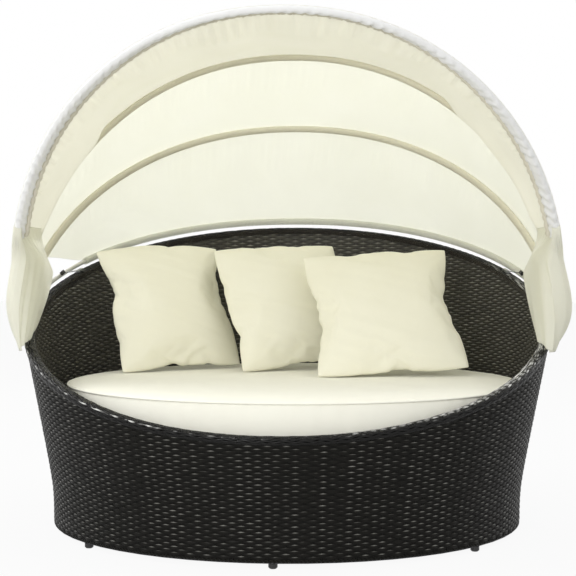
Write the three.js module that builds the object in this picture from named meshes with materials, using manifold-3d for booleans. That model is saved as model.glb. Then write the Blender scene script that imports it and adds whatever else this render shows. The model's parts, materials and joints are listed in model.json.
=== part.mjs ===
// Outdoor daybed: an oval woven tub on a tube frame, with a seat mattress, three loose
// pillows and a folding cloth canopy on four hinged bows. Millimetres, +Z up, open side at -Y.
import * as THREE from "three";
import { mergeVertices } from "three/addons/utils/BufferGeometryUtils.js";
import Module from "manifold-3d";

const wasm = await Module();
wasm.setup();

// Tub: the outer face of the woven wall, an oval that flares and leans back as it rises
const base_half_width = 800;
const base_half_depth = 717;
const foot_height = 16;
const flare_bend = 117;
const side_flare_share = 0.207;
const end_flare_share = 0.217;
const lean_share = 0.066;
const front_rim_height = 397;
const back_rim_height = 1035;
const rim_curve_share = 1.071;
const weave_thickness = 5;
const wall_thickness = 34;
const seat_gap = 0.3;

// Rim braid: a rounded channel over the wall's top edge
const braid_half_width = 20;
const braid_height = 34;
const braid_top_thickness = 8;
const braid_shoulder = 9;
const braid_flat_half_width = 12;
const braid_channel_half_width = 13.5;

// Frame tubes inside the wall and under the seat
const frame_tube_radius = 11;
const base_ring_height = 22;
const upright_count = 8;
const deck_top = 337;
const deck_ring_width = 22;
const deck_ring_height = 28;
const cross_bar_side = 25;
const cross_bar_spacing = 300;
const seat_deck_thickness = 6;
const glide_radius = 14;
const glide_chamfer = 4;
const glide_turns_deg = [-0.9, 51, 129, 180, 231, 309];

// Seat mattress
const mattress_thickness = 142;
const mattress_crown = 16;
const mattress_crown_run = 150;
const mattress_top_inset = 60;
const mattress_bottom_inset = 42;
const mattress_side_bulge = 5;

// Loose pillows
const pillow_side = 505;
const large_pillow_side = 540;
const pillow_half_thickness = 78;
const pillow_edge_draw_share = 0.055;

// Canopy bows: tubes that turn on one hub at each side, with flattened and drilled ends
const hub_back = 20.1;
const hub_standoff = 14.3;
const hub_rise = 36.5;
const rear_bow_standoff = 62;
const rear_bow_lift = 28;
const front_bow_extra = 8;
const bow_curve_share = 2.096;
const bow_radius = 8;
const bow_end_half_thickness = 2.2;
const bow_end_half_width = 12.2;
const bow_end_overhang = 14;
const flat_end_length = 90;
const round_from_length = 160;
const front_bow_deg = -27.5;
const second_bow_deg = 27.9;
const third_bow_deg = 49;

// Canopy cloth: sleeves round the bows, panels between them and a wing over each hub
const sleeve_radius = 13.5;
const sleeve_bore_radius = 8.5;
const sleeve_start = 290;
const cloth_thickness = 3;
const cloth_gap = 0.4;
const front_gather_depth = 11;
const middle_gather_depth = 4;
const rear_gather_depth = 7;
const panel_saddle = 14;
const wing_length = 370;
const wing_thickness = 3;

// Hub hardware
const pin_radius = 4;
const pin_clearance = 0.3;
const pin_head_radius = 8;
const pin_head_length = 5;
const washer_radius = 10;
const washer_thickness = 2;
const knob_radius = 12;
const knob_thickness = 9;
const ear_thickness = 4;
const ear_radius = 14;
const ear_foot_half_length = 24;
const plate_thickness = 4;
const plate_width = 34;
const plate_half_length = 42;
const plate_lift = 0.7;

// Stays that tie the rear bow to the back rim
const stay_radius = 2.5;
const stay_turn_deg = 119;
const clip_half_width = 7;
const clip_half_length = 15;
const clip_height = 9;
const clip_shift = 8;
const knuckle_length = 16;
const knuckle_width = 14;
const knuckle_height = 13;
const knuckle_reach = 380;

// How finely the forms are drawn
const ring_steps = 56;
const tube_sides = 6;
const sleeve_steps = 22;
const panel_steps = 36;
const panel_rows = 5;
const wing_columns = 21;
const wing_rows = 6;
const pillow_steps = 10;
const round_steps = 16;
const merge_distance = 0.0001;
const turn_step = 0.0001;

const full_turn = 2 * Math.PI;
const right_angle = Math.PI / 2;
const radians = THREE.MathUtils.degToRad;

const daybed = new THREE.Group();

// Materials
const finish = (color, roughness, metalness) =>
  new THREE.MeshStandardMaterial({ color, roughness, metalness });
const wicker = finish("#2f2d2a", 0.45, 0);
const frame_paint = finish("#26262a", 0.55, 0.3);
const black_plastic = finish("#161616", 0.5, 0);
const cream_cloth = finish("#eeebdc", 0.9, 0);
const pillow_cloth = finish("#efe9c9", 0.9, 0);
const canopy_cloth = finish("#f3f1dd", 0.95, 0);
const bow_paint = finish("#d9d8d2", 0.4, 0.5);
const plated_steel = finish("#b9bbbd", 0.3, 1);

function add(name, geometry, material, parent = daybed) {
  const mesh = new THREE.Mesh(geometry, material);
  mesh.name = name;
  parent.add(mesh);
  return mesh;
}

// A closed geometry from points and triangles, turned round if its faces point inwards
function bodyOf(points, triangles) {
  let volume = 0;
  for (const [a, b, c] of triangles) {
    volume += points[a].dot(new THREE.Vector3().crossVectors(points[b], points[c]));
  }
  const outward = volume < 0 ? triangles.map(([a, b, c]) => [a, c, b]) : triangles;
  const geometry = new THREE.BufferGeometry();
  const numbers = points.flatMap((point) => point.toArray());
  geometry.setAttribute("position", new THREE.Float32BufferAttribute(numbers, 3));
  geometry.setIndex(outward.flat());
  return geometry;
}

// A body through rings of points, either looped round on itself or closed by a flat end at each side
function loft(rings, looped = false) {
  const count = rings[0].length;
  const spans = looped ? rings.length : rings.length - 1;
  const triangles = [];
  for (let i = 0; i < spans; i += 1) {
    const here = i * count;
    const next = ((i + 1) % rings.length) * count;
    for (let j = 0; j < count; j += 1) {
      const k = (j + 1) % count;
      triangles.push([here + j, here + k, next + k]);
      triangles.push([here + j, next + k, next + j]);
    }
  }
  const end = spans * count;
  for (let j = 1; j < count - 1 && !looped; j += 1) {
    triangles.push([0, j + 1, j]);
    triangles.push([end, end + j, end + j + 1]);
  }
  return bodyOf(rings.flat(), triangles);
}

// A body between two grids of points, joined along their four edges
function slab(front, back, columns, rows) {
  const points = [];
  const triangles = [];
  for (const side of [front, back]) {
    for (let i = 0; i <= columns; i += 1) {
      for (let j = 0; j <= rows; j += 1) points.push(side(i / columns, j / rows));
    }
  }
  const row = rows + 1;
  const offset = (columns + 1) * row;
  const quad = (a, b, c, d) => triangles.push([a, b, c], [a, c, d]);
  for (let i = 0; i < columns; i += 1) {
    for (let j = 0; j < rows; j += 1) {
      const a = i * row + j;
      quad(a, a + row, a + row + 1, a + 1);
      quad(offset + a, offset + a + 1, offset + a + row + 1, offset + a + row);
    }
    const low = i * row;
    const high = low + rows;
    quad(low, offset + low, offset + low + row, low + row);
    quad(high, high + row, offset + high + row, offset + high);
  }
  for (let j = 0; j < rows; j += 1) {
    const far = columns * row + j;
    quad(j, j + 1, offset + j + 1, offset + j);
    quad(far, offset + far, offset + far + 1, far + 1);
  }
  return bodyOf(points, triangles);
}

// A sheet of the given thickness about a surface, square to it
function sheet(surface, thickness, columns, rows) {
  const step = 1 / (columns * rows);
  const shifted = (side) => (u, v) => {
    const along = surface(u + step, v).sub(surface(u - step, v));
    const across = surface(u, v + step).sub(surface(u, v - step));
    const normal = along.cross(across).normalize();
    return surface(u, v).addScaledVector(normal, (side * thickness) / 2);
  };
  return slab(shifted(1), shifted(-1), columns, rows);
}

// The rings of a tube through points, each with its half axes across and along a fixed normal
function tubeRings(points, halfAxes, normal, sides) {
  return points.map((point, i) => {
    const ahead = points[Math.min(i + 1, points.length - 1)];
    const behind = points[Math.max(i - 1, 0)];
    const along = ahead.clone().sub(behind).normalize();
    const side = along.clone().cross(normal).normalize();
    const up = side.clone().cross(along);
    const [half_side, half_up] = halfAxes(i);
    return Array.from({ length: sides }, (_, k) => {
      const turn = (k / sides) * full_turn;
      return point
        .clone()
        .addScaledVector(up, half_up * Math.cos(turn))
        .addScaledVector(side, half_side * Math.sin(turn));
    });
  });
}

// Joins and cuts
function solidOf(geometry) {
  const bare = new THREE.BufferGeometry();
  bare.setAttribute("position", geometry.getAttribute("position"));
  bare.setIndex(geometry.getIndex());
  const merged = mergeVertices(bare, merge_distance);
  return new wasm.Manifold(
    new wasm.Mesh({
      numProp: 3,
      vertProperties: merged.getAttribute("position").array,
      triVerts: new Uint32Array(merged.getIndex().array),
    }),
  );
}

function geometryOf(solid) {
  const { vertProperties, triVerts } = solid.getMesh();
  const geometry = new THREE.BufferGeometry();
  geometry.setAttribute("position", new THREE.BufferAttribute(vertProperties, 3));
  geometry.setIndex(new THREE.BufferAttribute(triVerts, 1));
  return geometry;
}

// The wall's outward run at a height: none at the foot, then a straight flare above a soft bend
function flareRun(height) {
  const past = Math.max(height - foot_height, 0) - flare_bend;
  const half_bend = flare_bend / 2;
  return (Math.hypot(past, half_bend) + past - Math.hypot(flare_bend, half_bend) + flare_bend) / 2;
}

function halfWidthAt(height) {
  return base_half_width + side_flare_share * flareRun(height);
}

function halfDepthAt(height) {
  return base_half_depth + end_flare_share * flareRun(height);
}

// A point of the wall: turn 0 is the front and a quarter turn is the right side
function wallPoint(turn, height, inset) {
  const x = (halfWidthAt(height) - inset) * Math.sin(turn);
  const y = lean_share * height - (halfDepthAt(height) - inset) * Math.cos(turn);
  return new THREE.Vector3(x, y, height);
}

function rimHeight(turn) {
  const rise = ((1 - Math.cos(turn)) / 2) ** rim_curve_share;
  return front_rim_height + (back_rim_height - front_rim_height) * rise;
}

// The frame tubes run in the middle of the wall, and so does the line of its top edge
const mid_inset = wall_thickness / 2;
const rimPoint = (turn) => wallPoint(turn, rimHeight(turn), mid_inset);

// A hoop round the tub, from its section at each turn as pairs of inset and height
function hoop(section) {
  const rings = Array.from({ length: ring_steps }, (_, i) => {
    const turn = (i / ring_steps) * full_turn;
    return section(turn).map(([inset, height]) => wallPoint(turn, height, inset));
  });
  return loft(rings, true);
}

const boxSection = (inset, width, low, high) => () => [
  [inset, low],
  [inset, high],
  [inset + width, high],
  [inset + width, low],
];

// Woven skins, outside and inside the frame
const skinTop = (turn) => rimHeight(turn) - braid_height - seat_gap;
const bend_shares = [0, 0.55, 1.25];

add("outer_weave", hoop((turn) => {
  const levels = [...bend_shares.map((share) => foot_height + share * flare_bend), skinTop(turn)];
  const outside = levels.map((level) => [0, level]);
  const inside = levels.map((level) => [weave_thickness, level]).reverse();
  return [...outside, ...inside];
}), wicker);

const inner_weave_bottom = deck_top + weave_thickness;
const inner_weave_inset = wall_thickness - weave_thickness;
add("inner_weave", hoop((turn) => [
  [inner_weave_inset, inner_weave_bottom],
  [inner_weave_inset, skinTop(turn)],
  [wall_thickness, skinTop(turn)],
  [wall_thickness, inner_weave_bottom],
]), wicker);

// Rim braid, a channel that sits on both skins and over the top tube
function braidSection(turn) {
  const top = rimHeight(turn);
  const half = [
    [braid_channel_half_width, top - braid_height],
    [braid_half_width, top - braid_height],
    [braid_half_width, top - braid_shoulder],
    [braid_flat_half_width, top],
  ];
  const inner = half.map(([across, height]) => [mid_inset + across, height]);
  const outer = half.map(([across, height]) => [mid_inset - across, height]).reverse();
  const channel_top = top - braid_top_thickness;
  return [
    ...inner,
    ...outer,
    [mid_inset - braid_channel_half_width, channel_top],
    [mid_inset + braid_channel_half_width, channel_top],
  ];
}
add("rim_braid", hoop(braidSection), wicker);

// Frame: base ring, uprights, top tube, deck ring and cross bars
const frame_tube_inset = mid_inset - frame_tube_radius;
const base_ring_top = foot_height + base_ring_height;
const base_ring_section = boxSection(frame_tube_inset, 2 * frame_tube_radius, foot_height, base_ring_top);
add("base_ring", hoop(base_ring_section), frame_paint);

const topTubeCentre = (turn) => rimHeight(turn) - braid_top_thickness - seat_gap - frame_tube_radius;
add("top_rim_tube", hoop((turn) => Array.from({ length: tube_sides }, (_, k) => {
  const around = ((k + 0.5) / tube_sides) * full_turn;
  return [
    mid_inset + frame_tube_radius * Math.cos(around),
    topTubeCentre(turn) + frame_tube_radius * Math.sin(around),
  ];
})), frame_paint);

for (let i = 0; i < upright_count; i += 1) {
  const turn = (i / upright_count) * full_turn;
  const low = base_ring_top + seat_gap;
  const high = topTubeCentre(turn) - frame_tube_radius - 2 * seat_gap;
  const bends = bend_shares.slice(1).map((share) => foot_height + share * flare_bend);
  const points = [low, ...bends, high].map((height) => wallPoint(turn, height, mid_inset));
  const run = rimPoint(turn + turn_step).sub(rimPoint(turn - turn_step));
  const slope = run.z / Math.hypot(run.x, run.y);
  const tangential = run.setZ(0).normalize();
  const halfAxes = () => [frame_tube_radius, frame_tube_radius];
  const rings = tubeRings(points, halfAxes, tangential, tube_sides);
  for (const point of rings[0]) point.z = low;
  for (const point of rings[rings.length - 1]) {
    point.z = high + slope * point.clone().sub(points[points.length - 1]).dot(tangential);
  }
  add(`upright_${i + 1}`, loft(rings), frame_paint);
}

const deck_ring_inset = mid_inset + frame_tube_radius + 2 * seat_gap;
const deck_ring_low = deck_top - deck_ring_height;
const deck_ring_section = boxSection(deck_ring_inset, deck_ring_width, deck_ring_low, deck_top);
add("deck_ring", hoop(deck_ring_section), frame_paint);

// A ring of the wall's outline at one height, drawn at another
function ovalRing(height, outline_height, inset) {
  return Array.from({ length: ring_steps }, (_, i) => {
    const point = wallPoint((i / ring_steps) * full_turn, outline_height, inset);
    return point.setZ(height);
  });
}

const ovalPlate = (low, high, inset) => loft([ovalRing(low, low, inset), ovalRing(high, high, inset)]);

const bar_room_inset = deck_ring_inset + deck_ring_width + seat_gap;
const bar_room = solidOf(ovalPlate(deck_ring_low, deck_top, bar_room_inset));
for (const [i, share] of [-1, 0, 1].entries()) {
  const bar = new THREE.BoxGeometry(cross_bar_side, 4 * base_half_depth, cross_bar_side);
  bar.translate(share * cross_bar_spacing, 0, deck_top - cross_bar_side / 2 - seat_gap);
  add(`cross_bar_${i + 1}`, geometryOf(bar_room.intersect(solidOf(bar))), frame_paint);
}

const seat_deck_inset = wall_thickness + 2 * seat_gap;
const seat_deck_low = deck_top + seat_gap;
const seat_deck_top = seat_deck_low + seat_deck_thickness;
add("seat_deck", ovalPlate(seat_deck_low, seat_deck_top, seat_deck_inset), wicker);

// Glides under the base ring
glide_turns_deg.forEach((degrees, i) => {
  const top = foot_height - seat_gap;
  const profile = [
    new THREE.Vector2(0, 0),
    new THREE.Vector2(glide_radius - glide_chamfer, 0),
    new THREE.Vector2(glide_radius, glide_chamfer),
    new THREE.Vector2(glide_radius, top),
    new THREE.Vector2(0, top),
  ];
  const glide = new THREE.LatheGeometry(profile, round_steps).rotateX(right_angle);
  const place = wallPoint(radians(degrees), foot_height, mid_inset);
  add(`foot_glide_${i + 1}`, glide, black_plastic).position.set(place.x, place.y, 0);
});

// Seat mattress: a boxed oval cushion with a crown and sides that swell between its seams
const mattress_low = seat_deck_top + seat_gap;
const mattress_seam = mattress_low + mattress_thickness;
const seat_top = mattress_seam + mattress_crown;
const mattress_mid = (mattress_low + mattress_seam) / 2;
const mattress_mid_inset = (mattress_top_inset + mattress_bottom_inset) / 2 - mattress_side_bulge;
const crown_shares = [0.12, 0.45];
add("mattress", loft([
  ovalRing(mattress_low, mattress_low, mattress_bottom_inset + mattress_crown),
  ovalRing(mattress_low + mattress_side_bulge, mattress_low, mattress_bottom_inset),
  ovalRing(mattress_mid, mattress_mid, mattress_mid_inset),
  ovalRing(mattress_seam, mattress_seam, mattress_top_inset),
  ...crown_shares.map((share) => ovalRing(
    mattress_seam + mattress_crown * Math.sqrt(Math.sin(share * right_angle)),
    mattress_seam,
    mattress_top_inset + mattress_crown_run * share,
  )),
  ovalRing(seat_top, mattress_seam, mattress_top_inset + mattress_crown_run),
]), cream_cloth);

// Pillows: the centre of each as shares of the seat's half width and half depth, and how far each
// is turned, leaned back and rolled
const pillow_place_shares = [
  { name: "pillow_left", side: pillow_side, across: -0.557, back: 0.436, turn: 32.5, lean: 24, roll: 1.5 },
  { name: "pillow_middle", side: pillow_side, across: -0.012, back: 0.504, turn: 26, lean: 27, roll: 3 },
  { name: "pillow_right", side: large_pillow_side, across: 0.422, back: 0.235, turn: 4, lean: 38, roll: 4.5 },
];
const seat_half_width = halfWidthAt(mattress_seam) - mattress_top_inset;
const seat_half_depth = halfDepthAt(mattress_seam) - mattress_top_inset;
const seat_centre_y = lean_share * mattress_seam;

// Pillow: two crowned faces that meet in a knife edge, drawn in between its pointed corners
function pillowFace(side, half) {
  return (u, v) => {
    const a = Math.sin((u - 0.5) * Math.PI);
    const b = Math.sin((v - 0.5) * Math.PI);
    const thickness = pillow_half_thickness * Math.sqrt((1 - a * a) * (1 - b * b));
    const x = half * a * (1 - pillow_edge_draw_share * (1 - b * b));
    const z = half * b * (1 - pillow_edge_draw_share * (1 - a * a));
    return new THREE.Vector3(x, side * thickness, z);
  };
}

for (const place of pillow_place_shares) {
  const half = place.side / 2;
  const geometry = slab(pillowFace(-1, half), pillowFace(1, half), pillow_steps, pillow_steps);
  const pillow = add(place.name, geometry, pillow_cloth);
  pillow.rotation.set(-radians(place.lean), -radians(place.roll), radians(place.turn), "ZXY");
  pillow.position.x = place.across * seat_half_width;
  pillow.position.y = seat_centre_y + place.back * seat_half_depth;
  pillow.position.z = seat_top + seat_gap - new THREE.Box3().setFromObject(pillow, true).min.z;
}

// Hub: the line that all bows turn on
const side_rim_height = rimHeight(right_angle);
const hub_turn = Math.acos((lean_share * side_rim_height - hub_back) / halfDepthAt(side_rim_height));
const hub_height = rimHeight(hub_turn) + hub_rise;
const hub_half_width = halfWidthAt(side_rim_height) + hub_standoff;

// Bows: half a superellipse in a plane through the hub, turned back from upright by its angle. The
// rear bow's middle stands off behind the back rim and a lift above it, and sets the bows' rise
const back_rim_y = lean_share * back_rim_height + halfDepthAt(back_rim_height);
const rear_bow_back = back_rim_y + rear_bow_standoff - hub_back;
const rear_bow_up = back_rim_height + rear_bow_lift - hub_height;
const rear_bow_deg = THREE.MathUtils.radToDeg(Math.atan2(rear_bow_back, rear_bow_up));
const bow_rise = Math.hypot(rear_bow_back, rear_bow_up);
const bow_pitch = 2 * bow_end_half_thickness + washer_thickness + 2 * seat_gap;
const bows = [
  { name: "front", degrees: front_bow_deg, rise: bow_rise + front_bow_extra },
  { name: "second", degrees: second_bow_deg, rise: bow_rise },
  { name: "third", degrees: third_bow_deg, rise: bow_rise },
  { name: "rear", degrees: rear_bow_deg, rise: bow_rise },
];
const middle_bow = (bows.length - 1) / 2;
bows.forEach((bow, i) => {
  bow.half_width = hub_half_width + (middle_bow - i) * bow_pitch;
});

// A point of a bow: across from -1 at the left hub to 1 at the right, or below the hub at a drop
function bowPoint(bow, angle, drop = 0) {
  const power = 2 / bow_curve_share;
  const across = bow.half_width * Math.sign(angle) * Math.abs(Math.sin(angle)) ** power;
  const reach = bow.rise * Math.abs(Math.cos(angle)) ** power - drop;
  const back = radians(bow.degrees);
  return new THREE.Vector3(across, hub_back + reach * Math.sin(back), hub_height + reach * Math.cos(back));
}

// The angle at which a bow has the given reach from the hub line
const bowAngle = (bow, reach) => Math.acos((reach / bow.rise) ** (bow_curve_share / 2));

// Each end is flat up to flat_end_length and round from round_from_length on
const rounding_shares = [0, 0.35, 0.7, 1];
function bowStations(bow) {
  const span = round_from_length - flat_end_length;
  const reaches = [
    flat_end_length / 2,
    ...rounding_shares.map((share) => flat_end_length + share * span),
    (round_from_length + sleeve_start) / 2,
  ];
  const low = reaches.map((reach) => ({ angle: bowAngle(bow, reach), drop: 0, reach }));
  const first = { angle: right_angle, drop: bow_end_overhang, reach: 0 };
  const start = bowAngle(bow, sleeve_start);
  const arc = Array.from({ length: sleeve_steps + 1 }, (_, i) => ({
    angle: start * (1 - (2 * i) / sleeve_steps),
    drop: 0,
    reach: sleeve_start,
  }));
  const right = [first, ...low];
  const left = right.map((station) => ({ ...station, angle: -station.angle })).reverse();
  return [...right, ...arc, ...left];
}

function bowHalfAxes(reach) {
  const round = THREE.MathUtils.smoothstep(reach, flat_end_length, round_from_length);
  return [
    THREE.MathUtils.lerp(bow_end_half_thickness, bow_radius, round),
    THREE.MathUtils.lerp(bow_end_half_width, bow_radius, round),
  ];
}

const bowNormal = (bow) =>
  new THREE.Vector3(0, Math.cos(radians(bow.degrees)), -Math.sin(radians(bow.degrees)));

const hub_bore = new THREE.CylinderGeometry(
  pin_radius + pin_clearance,
  pin_radius + pin_clearance,
  4 * hub_half_width,
  round_steps,
).rotateZ(right_angle).translate(0, hub_back, hub_height);

for (const bow of bows) {
  const stations = bowStations(bow);
  const points = stations.map(({ angle, drop }) => bowPoint(bow, angle, drop));
  const rings = tubeRings(points, (i) => bowHalfAxes(stations[i].reach), bowNormal(bow), tube_sides);
  const drilled = solidOf(loft(rings)).subtract(solidOf(hub_bore));
  add(`${bow.name}_bow`, geometryOf(drilled), bow_paint);
}

// Sleeves: cloth tunnels round the bows, from sleeve_start above one hub to the other
for (const bow of bows) {
  const stations = bowStations(bow).filter(({ reach }) => reach === sleeve_start);
  const points = stations.map(({ angle }) => bowPoint(bow, angle));
  const ringsOf = (radius) => tubeRings(points, () => [radius, radius], bowNormal(bow), tube_sides);
  const outside = ringsOf(sleeve_radius);
  const inside = ringsOf(sleeve_bore_radius);
  add(`${bow.name}_sleeve`, loft([...outside, ...inside.reverse()], true), canopy_cloth);
}

// The share of a run between two bows that lies within the first one's sleeve
function sleeveEdge(bow, angle, run) {
  const along = bowPoint(bow, angle + turn_step).sub(bowPoint(bow, angle - turn_step)).normalize();
  const clear = run.clone().addScaledVector(along, -run.dot(along)).length();
  return (sleeve_radius + cloth_gap) / clear;
}

// Panels: cloth drawn straight from one bow to the next, hollowed a little between them and
// gathered in folds that run from bow to bow
const panels = [
  { name: "front_panel", depth: front_gather_depth, folds: 9 },
  { name: "middle_panel", depth: middle_gather_depth, folds: 6 },
  { name: "rear_panel", depth: rear_gather_depth, folds: 6 },
];
panels.forEach(({ name, depth, folds }, i) => {
  const ahead = bows[i];
  const behind = bows[i + 1];
  const surface = (u, v) => {
    const side = 1 - 2 * u;
    const angles = [ahead, behind].map((bow) => side * bowAngle(bow, sleeve_start));
    const from = bowPoint(ahead, angles[0]);
    const to = bowPoint(behind, angles[1]);
    const run = to.clone().sub(from);
    const edges = [sleeveEdge(ahead, angles[0], run), sleeveEdge(behind, angles[1], run)];
    const point = from.clone().lerp(to, THREE.MathUtils.lerp(edges[0], 1 - edges[1], v));
    const inward = new THREE.Vector3(-point.x, hub_back - point.y, hub_height - point.z).normalize();
    const between = Math.sin(Math.PI * v);
    const along = Math.sin(Math.PI * u);
    const fold = depth * Math.sin(folds * full_turn * u);
    return point.addScaledVector(inward, between * along * (panel_saddle + fold));
  };
  add(name, sheet(surface, cloth_thickness, panel_steps, panel_rows), canopy_cloth);
});

// Wings: flaps that hang from the canopy over each hub, as shares of their length out from, behind and
// above the hub, from the outer rear edge round the front and over the rim to the inner rear edge
const wing_top_shares = [
  [-0.005, 0.34, 0.68],
  [-0.05, 0, 0.6955],
  [0.005, -0.32, 0.675],
  [-0.045, -0.405, 0.672],
  [-0.11, -0.36, 0.675],
  [-0.126, -0.181, 0.678],
  [-0.129, 0.251, 0.665],
  [-0.156, 0.608, 0.473],
];
const wing_middle_shares = [
  [0.062, 0.36, 0.2],
  [0.088, 0, 0.162],
  [0.036, -0.3, 0.142],
  [-0.037, -0.46, 0.154],
  [-0.126, -0.484, 0.17],
  [-0.18, -0.344, 0.203],
  [-0.199, 0.035, 0.23],
  [-0.202, 0.44, 0.17],
];
const wing_bottom_shares = [
  [0.014, 0.34, -0.162],
  [0.022, 0.03, -0.238],
  [-0.042, -0.276, -0.306],
  [-0.105, -0.5, -0.33],
  [-0.159, -0.592, -0.314],
  [-0.223, -0.519, -0.27],
  [-0.261, -0.371, -0.243],
  [-0.237, -0.127, -0.216],
];

// A wing's surface: a parabola from top to bottom through a smooth curve at each of three levels
function wingSurface(side) {
  const curves = [wing_top_shares, wing_middle_shares, wing_bottom_shares].map((shares) => {
    const places = shares.map(([out, back, up]) => new THREE.Vector3(
      side * (hub_half_width + out * wing_length),
      hub_back + back * wing_length,
      hub_height + up * wing_length,
    ));
    return new THREE.CatmullRomCurve3(places, false, "catmullrom");
  });
  return (u, v) => {
    const inside = THREE.MathUtils.clamp(u, 0, 1);
    const [top, middle, bottom] = curves.map((curve) => curve.getPoint(inside));
    top.multiplyScalar((1 - v) * (1 - 2 * v));
    middle.multiplyScalar(4 * v * (1 - v));
    bottom.multiplyScalar(v * (2 * v - 1));
    return top.add(middle).add(bottom);
  };
}

// Hub hardware and stays at each side
const rim_run = rimPoint(hub_turn + turn_step).sub(rimPoint(hub_turn - turn_step));
const rim_slope = Math.atan2(rim_run.z, rim_run.y);
const stack_half = middle_bow * bow_pitch + bow_end_half_thickness;

function bracket(side) {
  const drop = hub_rise * Math.cos(rim_slope) - plate_lift;
  const outline = new THREE.Shape();
  outline.moveTo(-ear_foot_half_length, -drop);
  outline.lineTo(ear_foot_half_length, -drop);
  outline.lineTo(ear_radius, 0);
  outline.absarc(0, 0, ear_radius, 0, Math.PI, false);
  outline.closePath();
  const bore = new THREE.Path();
  bore.absarc(0, 0, pin_radius + pin_clearance, 0, full_turn, true);
  outline.holes.push(bore);
  const ear = new THREE.ExtrudeGeometry(outline, {
    depth: ear_thickness,
    bevelEnabled: false,
    curveSegments: round_steps / 2,
  });
  ear.rotateX(right_angle).rotateZ(right_angle);
  const ear_face = stack_half + seat_gap;
  ear.translate(-ear_face - ear_thickness, 0, 0);
  const plate = new THREE.BoxGeometry(plate_width, 2 * plate_half_length, plate_thickness);
  plate.translate(-ear_face - plate_width / 2, 0, -drop + plate_thickness / 2);
  const geometry = geometryOf(solidOf(ear).add(solidOf(plate)));
  return side < 0 ? geometry.rotateZ(Math.PI) : geometry;
}

// A round piece on the hub line, from its radii along x as a closed profile
function onHubLine(profile, steps = round_steps) {
  const points = profile.map(([radius, along]) => new THREE.Vector2(radius, along));
  return new THREE.LatheGeometry(points, steps).rotateZ(-right_angle);
}

const ringProfile = (inner, outer, low, high) => [
  [inner, low],
  [outer, low],
  [outer, high],
  [inner, high],
  [inner, low],
];

function rodBetween(from, to, radius) {
  const length = from.distanceTo(to);
  const rod = new THREE.CylinderGeometry(radius, radius, length, round_steps / 2);
  const direction = to.clone().sub(from).normalize();
  rod.applyQuaternion(new THREE.Quaternion().setFromUnitVectors(new THREE.Vector3(0, 1, 0), direction));
  const middle = from.clone().lerp(to, 0.5);
  return rod.translate(middle.x, middle.y, middle.z);
}

// The room that a boxy piece takes, with the seat gap all round
function roomOf(mesh) {
  mesh.updateMatrix();
  const { width, height, depth } = mesh.geometry.parameters;
  const room = new THREE.BoxGeometry(width + 2 * seat_gap, height + 2 * seat_gap, depth + 2 * seat_gap);
  return solidOf(room.applyMatrix4(mesh.matrix));
}

for (const [label, side] of [["left", -1], ["right", 1]]) {
  const hub = new THREE.Group();
  hub.position.set(side * hub_half_width, hub_back, hub_height);
  daybed.add(hub);

  add(`hub_bracket_${label}`, bracket(side), plated_steel, hub).rotation.x = rim_slope;

  const turned = new THREE.Group();
  turned.rotation.z = side < 0 ? Math.PI : 0;
  hub.add(turned);
  const head_out = -stack_half - 2 * seat_gap - ear_thickness;
  const knob_in = stack_half + seat_gap;
  const knob_out = knob_in + knob_thickness;
  add(`pivot_pin_${label}`, onHubLine([
    [0, head_out - pin_head_length],
    [pin_head_radius, head_out - pin_head_length],
    [pin_head_radius, head_out],
    [pin_radius, head_out],
    [pin_radius, knob_out],
    [0, knob_out],
  ]), plated_steel, turned);
  add(
    `pivot_knob_${label}`,
    onHubLine(ringProfile(pin_radius + pin_clearance, knob_radius, knob_in, knob_out)),
    black_plastic,
    turned,
  );
  for (let i = 0; i < bows.length - 1; i += 1) {
    const centre = (i + 0.5 - middle_bow) * bow_pitch;
    const half = washer_thickness / 2;
    const profile = ringProfile(pin_radius + pin_clearance, washer_radius, centre - half, centre + half);
    add(`pivot_washer_${label}_${i + 1}`, onHubLine(profile), black_plastic, turned);
  }

  add(`side_wing_${label}`, sheet(wingSurface(side), wing_thickness, wing_columns, wing_rows), canopy_cloth);

  const stay_turn = side * radians(stay_turn_deg);
  const along = rimPoint(stay_turn + turn_step).sub(rimPoint(stay_turn - turn_step)).normalize();
  const across = along.clone().cross(new THREE.Vector3(0, 0, 1)).normalize();
  const up = across.clone().cross(along);
  const clip = new THREE.BoxGeometry(2 * clip_half_width, 2 * clip_half_length, clip_height);
  const clip_mesh = add(`rim_clip_${label}`, clip, plated_steel);
  clip_mesh.quaternion.setFromRotationMatrix(new THREE.Matrix4().makeBasis(across, along, up));
  const clip_lift = clip_height / 2 + 2 * seat_gap;
  clip_mesh.position.copy(rimPoint(stay_turn)).addScaledVector(up, clip_lift);
  clip_mesh.position.addScaledVector(across, -clip_shift);

  const rear = bows[bows.length - 1];
  const knuckle_angle = side * bowAngle(rear, knuckle_reach);
  const knuckle_place = bowPoint(rear, knuckle_angle);
  const bow_run = bowPoint(rear, knuckle_angle + turn_step).sub(knuckle_place).normalize();
  const ahead = bowNormal(rear).negate();
  const inward = bow_run.clone().cross(ahead).normalize();
  const stand = ahead.clone().add(inward).normalize();
  const stand_height = sleeve_radius + 2 * seat_gap + knuckle_height / 2;
  knuckle_place.addScaledVector(stand, stand_height);
  const knuckle = new THREE.BoxGeometry(knuckle_length, knuckle_width, knuckle_height);
  const knuckle_mesh = add(`stay_knuckle_${label}`, knuckle, black_plastic);
  const knuckle_side = stand.clone().cross(bow_run);
  const knuckle_basis = new THREE.Matrix4().makeBasis(bow_run, knuckle_side, stand);
  knuckle_mesh.quaternion.setFromRotationMatrix(knuckle_basis);
  knuckle_mesh.position.copy(knuckle_place);

  const rod = solidOf(rodBetween(knuckle_mesh.position, clip_mesh.position, stay_radius));
  const cut = rod.subtract(roomOf(knuckle_mesh)).subtract(roomOf(clip_mesh));
  add(`stay_${label}`, geometryOf(cut), plated_steel);
}

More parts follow.
